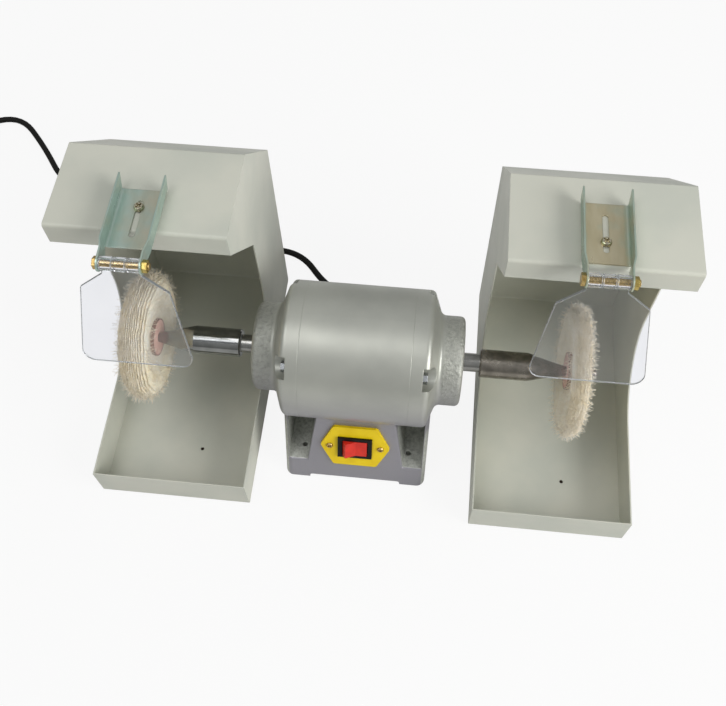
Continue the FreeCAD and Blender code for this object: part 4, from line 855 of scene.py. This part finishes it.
        # one curved fibre with a three-sided section, strewn over the edges
        bend = [add("ShaderNodeVectorMath", point, operation="SCALE",
                    named={"Scale": size["Fibre length"]}) for point in self.fibre_curl]
        line = add("GeometryNodeCurveQuadraticBezier", 3,
                   named={"Start": (0.0, 0.0, 0.0), "Middle": bend[0], "End": bend[1]})
        line = add("GeometryNodeResampleCurve", line, named={"Count": 3})
        taper = add("ShaderNodeMapRange", add("GeometryNodeSplineParameter"), 0.0, 1.0, 1.0,
                    self.fibre_tip)
        line = add("GeometryNodeSetCurveRadius", line, named={"Radius": taper})
        section = add("GeometryNodeCurvePrimitiveCircle", 3, named={"Radius": size["Fibre radius"]})
        fibre = add("GeometryNodeCurveToMesh", line, section, named={"Fill Caps": True})
        number = add("GeometryNodeInputNamedAttribute", "fringe", data_type="FLOAT")
        number = add("ShaderNodeMath", number, size["Fibres"], operation="MULTIPLY")
        roots = add("GeometryNodeDistributePointsOnFaces", cloth, distribute_method="RANDOM",
                    named={"Density": number, "Seed": size["Seed"]})
        most = Vector((self.fibre_lean, self.fibre_lean, TURN / 2))
        lean = add("FunctionNodeRandomValue", -most, most, data_type="FLOAT_VECTOR",
                   named={"Seed": size["Seed"]})
        lean = add("FunctionNodeEulerToRotation", lean)
        stance = add("FunctionNodeRotateRotation", roots.outputs["Rotation"], lean,
                     rotation_space="LOCAL")
        grown = add("FunctionNodeRandomValue", data_type="FLOAT",
                    named={**dict(zip((LEAST, MOST), self.fibre_grown)), "Seed": size["Seed"]})
        fibres = add("GeometryNodeInstanceOnPoints", roots,
                     named={"Instance": fibre, "Rotation": stance, "Scale": grown.outputs[PICKED]})
        joined = add("GeometryNodeJoinGeometry", fibres)
        made.tree.links.new(cloth.outputs[0], joined.inputs[0])
        made.end(joined)
        return made

    def build(self) -> list[Object]:
        """Make both buffs.

        Returns:
            The two buffs, left and right.
        """
        recipe = self.recipe()
        pieces = []
        for side, rim_half, dish, seed in zip(Side, self.rim_half, self.dish, self.seeds):
            name = "cotton_buff_" + side.label
            mesh = recipe.make(name, self.cotton.material(), Seed=seed, Rim_half=rim_half * MM,
                               Dish=dish * MM, Centre_X=side.value * self.centre_x * MM)
            piece = add_piece(name, mesh, "rotor", "cotton")
            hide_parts("buff_" + side.label)
            pieces.append(piece)
        return pieces


# ---------------------------------------------------------------- switch
@dataclass
class Switch:
    """Rocker switch on its yellow plate."""

    # Yellow enamel on pressed steel: bright, even, with soft gloss.
    yellow: Finish = Finish("yellow_stove_enamel", "#F0D008", "#E6C406", 0.42, mottle=14.0,
                            grain=1.6, depth=0.02, edge=0.7,
                            constants=(("Specular IOR Level", 0.35),))
    # Black ABS: satin moulded plastic with a faint spark-erosion grain.
    black: Finish = Finish("black_moulded_abs", "#100D0C", "#171412", 0.5, mottle=5.0, grain=0.5,
                           edge=0.5, constants=(("Specular IOR Level", 0.2),))
    # Red ABS: clear glossy moulding, slightly darker where it is thick.
    red: Finish = Finish("red_moulded_abs", "#DB2F1F", "#CB271B", 0.36, mottle=7.0, grain=0.8,
                         depth=0.01, edge=0.6, constants=(("Specular IOR Level", 0.35),))

    def build(self) -> list[Object]:
        """Dress the switch's parts.

        Returns:
            The dressed nodes.
        """
        return [
            *dress(self.yellow, "switch_plate"),
            *dress(BRASS, "switch_tabs"),
            *dress(self.black, "switch_body"),
            *dress(self.red, "switch_rocker"),
        ]


# ---------------------------------------------------------------- screws
@dataclass(frozen=True)
class ScrewSet:
    """A row of equal screws: the CAD node that they replace, and their sizes in millimetres."""

    node: str
    body: str
    slot: str
    finish: Finish
    first: tuple[float, float, float]       # seat of the first head
    head_r: float
    head_h: float
    shank_r: float
    shank_len: float
    step: float = 0.0                       # from one screw to the next, along X
    count: int = 1
    lean: float = 0.0                       # degrees from upright towards the front


@dataclass
class Screws:
    """Pan head screws with a cross recess, on the switch plate and through the brackets."""

    ball_parts: tuple[int, int] = (32, 16)
    shank_sides: int = 24
    smooth_to: float = 40.0                 # degrees: edges that turn by more look sharp
    twist: tuple[float, float] = (0.1, 1.4)             # how far the crosses are turned, radians
    # shares of the head's height and radius
    crown: float = 1.5                      # the sphere's height, cut flat at the head's top
    shank_top: float = 0.2
    recess_depth: float = 0.75
    recess_reach: float = 1.25
    recess_width: float = 0.34
    sets: tuple[ScrewSet, ...] = (
        ScrewSet("switch_plate_screws", "motor", "brass_screw", BRASS, (-22.0, -52.7, 43.86),
                 head_r=2.9, head_h=1.4, shank_r=1.5, shank_len=7.0, step=44.0, count=2,
                 lean=70.0),
        *(ScrewSet("clamp_screw_" + side.label, side.label + "_hood", "zinc_steel", STRAW_ZINC,
                   (x, 24.1, 259.3), head_r=3.9, head_h=2.6, shank_r=2.0, shank_len=10.0)
          for side, x in zip(Side, BRACKET_X)),
    )

    def recipe(self) -> Recipe:
        """Cut a rounded head out of a sphere, add its shank, and set a row of them.

        Returns:
            The screws' tree.
        """
        names = ("First X", "First Y", "First Z", "Step", "Lean", "Head radius", "Head height",
                 "Shank radius", "Shank length")
        made = Recipe("cross_recess_screws", {**dict.fromkeys(names, 0.0), "Count": 1, "Seed": 5})
        add, size = made.add, made.sizes

        def share(name: str, part: float) -> Node:
            """Share of one of the sizes."""
            return add("ShaderNodeMath", size[name], part, operation="MULTIPLY")

        def block(wide: float, deep: float, bottom: float, top: float) -> Node:
            """Make a box on the screw's axis.

            Args:
                wide: Its width, as a share of the head's radius.
                deep: Its depth, as a share of the head's radius.
                bottom: Where it begins, as a share of the head's height.
                top: Where it ends.

            Returns:
                The box.
            """
            sides = add("ShaderNodeCombineXYZ", share("Head radius", wide),
                        share("Head radius", deep), share("Head height", top - bottom))
            rise = add("ShaderNodeCombineXYZ", 0.0, 0.0,
                       share("Head height", (bottom + top) / 2))
            return add("GeometryNodeTransform", add("GeometryNodeMeshCube", sides),
                       named={"Translation": rise})

        ball = add("GeometryNodeMeshUVSphere", *self.ball_parts, 1.0)
        dome = add("GeometryNodeTransform", ball, named={"Scale": add(
            "ShaderNodeCombineXYZ", size["Head radius"], size["Head radius"],
            share("Head height", self.crown))})
        head = add("GeometryNodeMeshBoolean", dome, operation="DIFFERENCE", solver="EXACT")
        recess = 1.0 - self.recess_depth, 2.0 - self.recess_depth
        for cutter in (block(3.0, 3.0, -2.0, 0.0), block(3.0, 3.0, 1.0, 3.0),
                       block(self.recess_reach, self.recess_width, *recess),
                       block(self.recess_width, self.recess_reach, *recess)):
            made.tree.links.new(cutter.outputs[0], head.inputs["Mesh 2"])
        rod = add("GeometryNodeMeshCylinder", self.shank_sides, 1, 1, size["Shank radius"],
                  size["Shank length"])
        drop = add("ShaderNodeMath", size["Head height"], self.shank_top,
                   share("Shank length", -0.5), operation="MULTIPLY_ADD")
        rod = add("GeometryNodeTransform", rod,
                  named={"Translation": add("ShaderNodeCombineXYZ", 0.0, 0.0, drop)})
        screw = add("GeometryNodeMeshBoolean", operation="UNION", solver="EXACT")
        for part in (head, rod):
            made.tree.links.new(part.outputs[0], screw.inputs["Mesh 2"])
        row = add("GeometryNodeMeshLine", size["Count"], named={
            "Start Location": add("ShaderNodeCombineXYZ", size["First X"], size["First Y"],
                                  size["First Z"]),
            "Offset": add("ShaderNodeCombineXYZ", size["Step"])})
        twist = add("FunctionNodeRandomValue", data_type="FLOAT",
                    named={**dict(zip((LEAST, MOST), self.twist)), "Seed": size["Seed"]})
        lean = add("FunctionNodeEulerToRotation", add("ShaderNodeCombineXYZ", size["Lean"]))
        twist = add("FunctionNodeEulerToRotation",
                    add("ShaderNodeCombineXYZ", 0.0, 0.0, twist.outputs[PICKED]))
        stance = add("FunctionNodeRotateRotation", lean, twist, rotation_space="LOCAL")
        made.end(add("GeometryNodeInstanceOnPoints", row,
                     named={"Instance": screw, "Rotation": stance}))
        return made

    def build(self) -> list[Object]:
        """Make every set of screws.

        Returns:
            One piece for each set.
        """
        recipe = self.recipe()
        pieces = []
        for screws in self.sets:
            name = "cross_recess_" + screws.node
            x, y, z = screws.first
            mesh = recipe.make(
                name, screws.finish.material(), self.smooth_to, First_X=x * MM,
                First_Y=y * MM, First_Z=z * MM, Step=screws.step * MM,
                Lean=math.radians(screws.lean),
                Head_radius=screws.head_r * MM, Head_height=screws.head_h * MM,
                Shank_radius=screws.shank_r * MM, Shank_length=screws.shank_len * MM,
                Count=screws.count)
            piece = add_piece(name, mesh, screws.body, screws.slot)
            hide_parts(screws.node)
            pieces.append(piece)
        return pieces


# ---------------------------------------------------------------- hoods
@dataclass
class Hoods:
    """Folded hoods with their brackets, bolts and clear shields; sizes in millimetres."""

    edge_bevel: float = 0.35
    bevel_parts: int = 2
    bevel_from: float = 40.0                # degrees: edges that turn by more are broken
    flat_within: float = 0.5                # degrees: faces that turn by less are one
    edge_face: float = 0.2                  # cosine to the sheet below which a face is sawn
    # Powder coat on sheet steel: pale warm grey, satin, with a fine orange peel.
    powder: Finish = Finish("pale_grey_powder_coat", "#CBCBBE", "#C1C3B7", 0.4, spread=0.04,
                            mottle=60.0, grain=1.4, depth=0.03, edge=0.6)
    # Zinc-plated sheet steel: satin spangles, with a bluish film on the left bracket.
    zinc_left: Finish = RolledZinc("zinc_plated_sheet_left", "#CCD1CA", "#B9BFB6", 0.32, 0.65,
                                   mottle=5.0, grain=0.8, edge=0.7, centre_x=BRACKET_X[0],
                                   stretch=(1.0, 0.25, 1.0))
    # The same plating on the right bracket, where its film looks more like straw.
    zinc_right: Finish = replace(zinc_left, name="zinc_plated_sheet_right", colour="#CAC7B4",
                                 second="#B8B49E", centre_x=BRACKET_X[1], plate_tint=(0.5, 0.4),
                                 tint_to="#CABA93")
    # Sawn acrylic edge: frosted by the saw, so it gathers light and looks white.
    sawn: Finish = Finish("sawn_acrylic_edge", "#E2E5E8", "#D2D6DA", 0.3, mottle=4.0, grain=0.4,
                          edge=0.0, constants=(("Transmission Weight", 0.75), ("IOR", 1.49)))
    # Acrylic sheet: clear, polished, with a faint grey tint in its thickness.
    clear: Finish = ClearAcrylic("clear_acrylic_sheet", "#F3F4F8", "#F0F1F5", 0.03, spread=0.01,
                                 mottle=40.0, grain=20.0, depth=0.01, edge=0.0,
                                 constants=(("Transmission Weight", 1.0), ("IOR", 1.49),
                                            ("Specular IOR Level", 0.25)))

    def shield(self, side: Side) -> Object:
        """Make a shield with sawn, slightly broken edges.

        Args:
            side: Which end of the lathe.

        Returns:
            The shield's piece.
        """
        name = "clear_shield_" + side.label
        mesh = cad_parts["shield_" + side.label].data.copy()
        mesh.name = name
        mesh.materials.clear()
        mesh.materials.append(self.clear.material())
        mesh.materials.append(self.sawn.material())
        work = bmesh.new()
        work.from_mesh(mesh)
        bmesh.ops.remove_doubles(work, verts=work.verts, dist=WELD)
        bmesh.ops.dissolve_limit(work, angle_limit=math.radians(self.flat_within),
                                 verts=work.verts, edges=work.edges)
        across = max(work.faces, key=lambda face: face.calc_area()).normal.copy()
        for face in work.faces:
            face.smooth = False
            face.material_index = int(abs(face.normal.dot(across)) < self.edge_face)
        work.to_mesh(mesh)
        work.free()
        piece = add_piece(name, mesh, side.label + "_shield", "clear_acrylic")
        bevel = piece.modifiers.new("broken_edge", "BEVEL")
        bevel.width = self.edge_bevel * MM
        bevel.segments = self.bevel_parts
        bevel.limit_method = "ANGLE"
        bevel.angle_limit = math.radians(self.bevel_from)
        bevel.material = mesh.materials.find(self.sawn.name)
        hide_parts("shield_" + side.label)
        return piece

    def build(self) -> list[Object]:
        """Dress both hoods and their fittings, and make the shields.

        Returns:
            All pieces of both hoods.
        """
        pieces = []
        for side, zinc in zip(Side, (self.zinc_left, self.zinc_right)):
            pieces += dress(self.powder, "hood_" + side.label)
            pieces += dress(zinc, "bracket_" + side.label)
            pieces += dress(BRIGHT_ZINC, "clamp_nut_" + side.label)
            pieces += dress(BRASS, "hinge_bolt_" + side.label)
            pieces += dress(YELLOW_ZINC, "hinge_nut_" + side.label)
            pieces.append(self.shield(side))
        return pieces


# ---------------------------------------------------------------- power cord
@dataclass
class PowerCord:
    """Power cord from the gland to its plug, with the spare length wound and tied; millimetres."""

    diameter: float = 6.2
    length: float = 1500.0
    route: tuple[tuple[float, float, float], ...] = (
        (-22, 83, 24), (-24, 114, 20), (-52, 136, 3.1), (-80, 172, 3.1), (-122, 175, 3.1),
        (-175, 187, 3.1), (-232, 212, 3.1), (-289, 230, 3.1), (-350, 239, 3.1), (-383, 286, 3.1),
        (-426, 333, 3.1), (-477, 305, 3.1), (-509.6, 284.9, 3.1),
    )
    coil_centre: tuple[float, float] = (-497.0, 238.0)
    entry: float = 132.0                    # where the cord meets the coil, in degrees
    points_per_turn: int = 16
    outer_r: float = 37.1                   # of the coil's two rows of turns
    inner_r: float = 30.9
    sweep: float = 1488.0                   # whole angle that the coil is wound through
    # where the winding moves to another place: start, end, new radius, new layer
    moves: tuple[tuple[float, float, float, int], ...] = (
        (150, 210, outer_r, 0), (465, 525, inner_r, 0), (795, 855, inner_r, 1),
        (1125, 1185, outer_r, 1),
    )
    plug_tail: tuple[tuple[float, float, float], ...] = ((-534.1, 222, 9.3), (-534.1, 204, 9.3))
    # Black PVC: soft satin sheath with a faint bloom.
    pvc: Finish = Finish("black_pvc_sheath", "#10100D", "#171613", 0.55, mottle=12.0, grain=1.0,
                         depth=0.03, edge=0.0, constants=(("Specular IOR Level", 0.2),))
    # Moulded PVC plug: the same black with a finer grain.
    moulded: Finish = Finish("black_moulded_pvc", "#161513", "#1F1E1B", 0.5, mottle=6.0, grain=0.6,
                             depth=0.04, edge=0.5)
    # Nylon tie: dull black.
    nylon: Finish = Finish("black_nylon_tie", "#1B1B1A", "#242321", 0.55, mottle=4.0, grain=0.5)
    # Plated plug pins: bright nickel.
    nickel: Finish = Finish("nickel_plated_brass", "#C4C1B6", "#AFACA0", 0.22, 1.0, mottle=4.0,
                            grain=0.4)

    def wound(self, turned: float) -> tuple[float, float, float]:
        """Point of the coil after winding through an angle.

        Args:
            turned: Degrees since the cord met the coil.

        Returns:
            The point, in millimetres.
        """
        radius, layer = self.outer_r + self.diameter, 0.0
        for start, end, to_radius, to_layer in self.moves:
            part = min(max((turned - start) / (end - start), 0), 1)
            part = part * part * (3 - 2 * part)
            radius += (to_radius - radius) * part
            layer += (to_layer - layer) * part
        radius /= math.sqrt(math.cos(math.pi / self.points_per_turn))
        angle = math.radians(self.entry + turned)
        return (self.coil_centre[0] + radius * math.cos(angle),
                self.coil_centre[1] + radius * math.sin(angle),
                self.diameter * (0.5 + layer))

    def lead(self) -> Object:
        """Lay the cord as one smooth line.

        Returns:
            The cord's piece.
        """
        curve = bpy.data.curves.new("power_lead", "CURVE")
        curve.dimensions = "3D"
        steps = round(self.sweep / 360 * self.points_per_turn)
        coil = [self.wound(self.sweep * i / steps) for i in range(steps + 1)]
        points = [*self.route, *coil, *self.plug_tail]
        spline = curve.splines.new("NURBS")
        spline.points.add(len(points) - 1)
        for place, point in zip(spline.points, points):
            place.co = (*(Vector(point) * MM), 1.0)
        spline.order_u = 3
        spline.use_endpoint_u = True
        spline.resolution_u = 8
        curve.bevel_depth = self.diameter / 2 * MM
        curve.bevel_resolution = 4
        curve.use_fill_caps = True
        curve.materials.append(self.pvc.material())
        piece = add_piece("power_lead", curve, "motor", "cord_pvc")
        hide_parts("power_cord", "cord_coil")
        return piece

    def build(self) -> list[Object]:
        """Returns:
            The cord, its plug with its pins, the tie and the gland.
        """
        lead = self.lead()
        on_it = [*dress(self.moulded, "power_plug"), *dress(self.nickel, "power_plug_pins"),
                 *dress(self.nylon, "cord_tie")]
        Vector(self.route[0]) * MM
        return [lead, *on_it, *dress(self.moulded, "cord_gland")]


# ---------------------------------------------------------------- studio
@dataclass
class Studio:
    """Pale floor, soft lamps and the camera; sizes in millimetres, angles in degrees."""

    image: tuple[int, int] = (726, 706)
    focal_px: float = 900.05
    azimuth: float = 7.70
    elevation: float = 61.01
    roll: float = -1.97
    eye: tuple[float, float, float] = (49.84, -350.11, 762.89)
    middle: tuple[float, float] = (362.59, 348.37)
    sensor: float = 36.0
    clip: tuple[float, float] = (0.05, 50.0)            # in metres
    floor_half: float = 6000.0
    # Matt paper on the floor: pale, with no gloss of its own; its second colour is painted shade
    # under the drain holes.
    paper: Finish = PaleFloor("pale_paper_floor", "#D8D8D6", "#3A302A", 0.9,
                              constants=(("Specular IOR Level", 0.1),))
    sky_low: str = "#B2B4B2"
    sky_high: str = "#F2F4F6"
    sky_top: float = 0.8                    # height at which the sky is at its brightest
    sky_level: float = 0.56
    lamps: tuple[tuple[str, tuple[float, float, float], float, float], ...] = (
        ("overhead_lamp", (-600, -350, 1900), 1000, 8.5),
        ("window_lamp", (1650, -700, 1000), 1200, 30.0),
    )

    def camera(self) -> None:
        """Place the camera."""
        turn, lift, tilt = (math.radians(a) for a in (self.azimuth, self.elevation, self.roll))
        back = Vector((math.sin(turn) * math.cos(lift), -math.cos(turn) * math.cos(lift),
                       math.sin(lift)))
        right = Vector((math.cos(turn), math.sin(turn), 0))
        up = back.cross(right)
        right, up = (right * math.cos(tilt) + up * math.sin(tilt),
                     up * math.cos(tilt) - right * math.sin(tilt))
        data = bpy.data.cameras.new("camera")
        width, height = self.image
        data.sensor_width = self.sensor
        data.lens = self.focal_px * self.sensor / width
        data.shift_x = (width / 2 - self.middle[0]) / width
        data.shift_y = (self.middle[1] - height / 2) / width
        data.clip_start, data.clip_end = self.clip
        camera = put("camera", data)
        camera.matrix_world = Matrix.Translation(Vector(self.eye) * MM) @ Matrix(
            (right, up, back)).transposed().to_4x4()
        bpy.context.scene.camera = camera

    def floor(self) -> Object:
        """Lay the pale floor.

        Returns:
            The floor.
        """
        mesh = bpy.data.meshes.new("floor")
        half = self.floor_half * MM
        corners = [(-half, -half, 0), (half, -half, 0), (half, half, 0), (-half, half, 0)]
        mesh.from_pydata(corners, [], [(0, 1, 2, 3)])
        mesh.materials.append(self.paper.material())
        floor = put("floor", mesh)
        return floor

    def sky(self) -> None:
        """Light the room softly from above, and show the camera plain white."""
        world = bpy.data.worlds.new("soft_room")
        world.use_nodes = True
        tree = world.node_tree
        room = tree.nodes["Background"]
        place = add_node(tree, "ShaderNodeTexCoord").outputs["Generated"]
        rise = add_node(tree, "ShaderNodeSeparateXYZ", place).outputs[2]
        shade = add_node(tree, "ShaderNodeValToRGB", rise,
                         stops=((0.0, self.sky_low), (self.sky_top, self.sky_high)))
        tree.links.new(shade.outputs[0], room.inputs["Color"])
        room.inputs["Strength"].default_value = self.sky_level
        rays = add_node(tree, "ShaderNodeLightPath")
        white = add_node(tree, "ShaderNodeBackground", WHITE, 1.0)
        mixed = add_node(tree, "ShaderNodeMixShader", rays.outputs["Is Camera Ray"], room, white)
        tree.links.new(mixed.outputs[0], tree.nodes["World Output"].inputs["Surface"])
        bpy.context.scene.world = world

    def build(self) -> list[Object]:
        """Set up the whole studio.

        Returns:
            The floor and the lamps.
        """
        self.camera()
        self.sky()
        made = [self.floor()]
        for name, place, width, power in self.lamps:
            data = bpy.data.lights.new(name, "AREA")
            data.size = width * MM
            data.energy = power
            lamp = put(name, data)
            lamp.location = Vector(place) * MM
            aim = Vector((0, 0, AXIS_Z * MM)) - lamp.location
            lamp.rotation_euler = aim.to_track_quat("-Z", "Y").to_euler()
            made.append(lamp)
        bpy.context.scene.view_settings.view_transform = "Standard"
        return made


def main() -> None:
    """Build the lathe and its studio, and report every piece."""
    logging.basicConfig(level=logging.INFO, format="%(message)s")
    for part in (Studio(), PowerCord(), Motor(), Spindles(), Buffs(), Switch(), Screws(), Hoods()):
        for piece in part.build():
            LOG.info("%s: %s", type(part).__name__, piece.name)


if __name__ == "__main__":
    main()
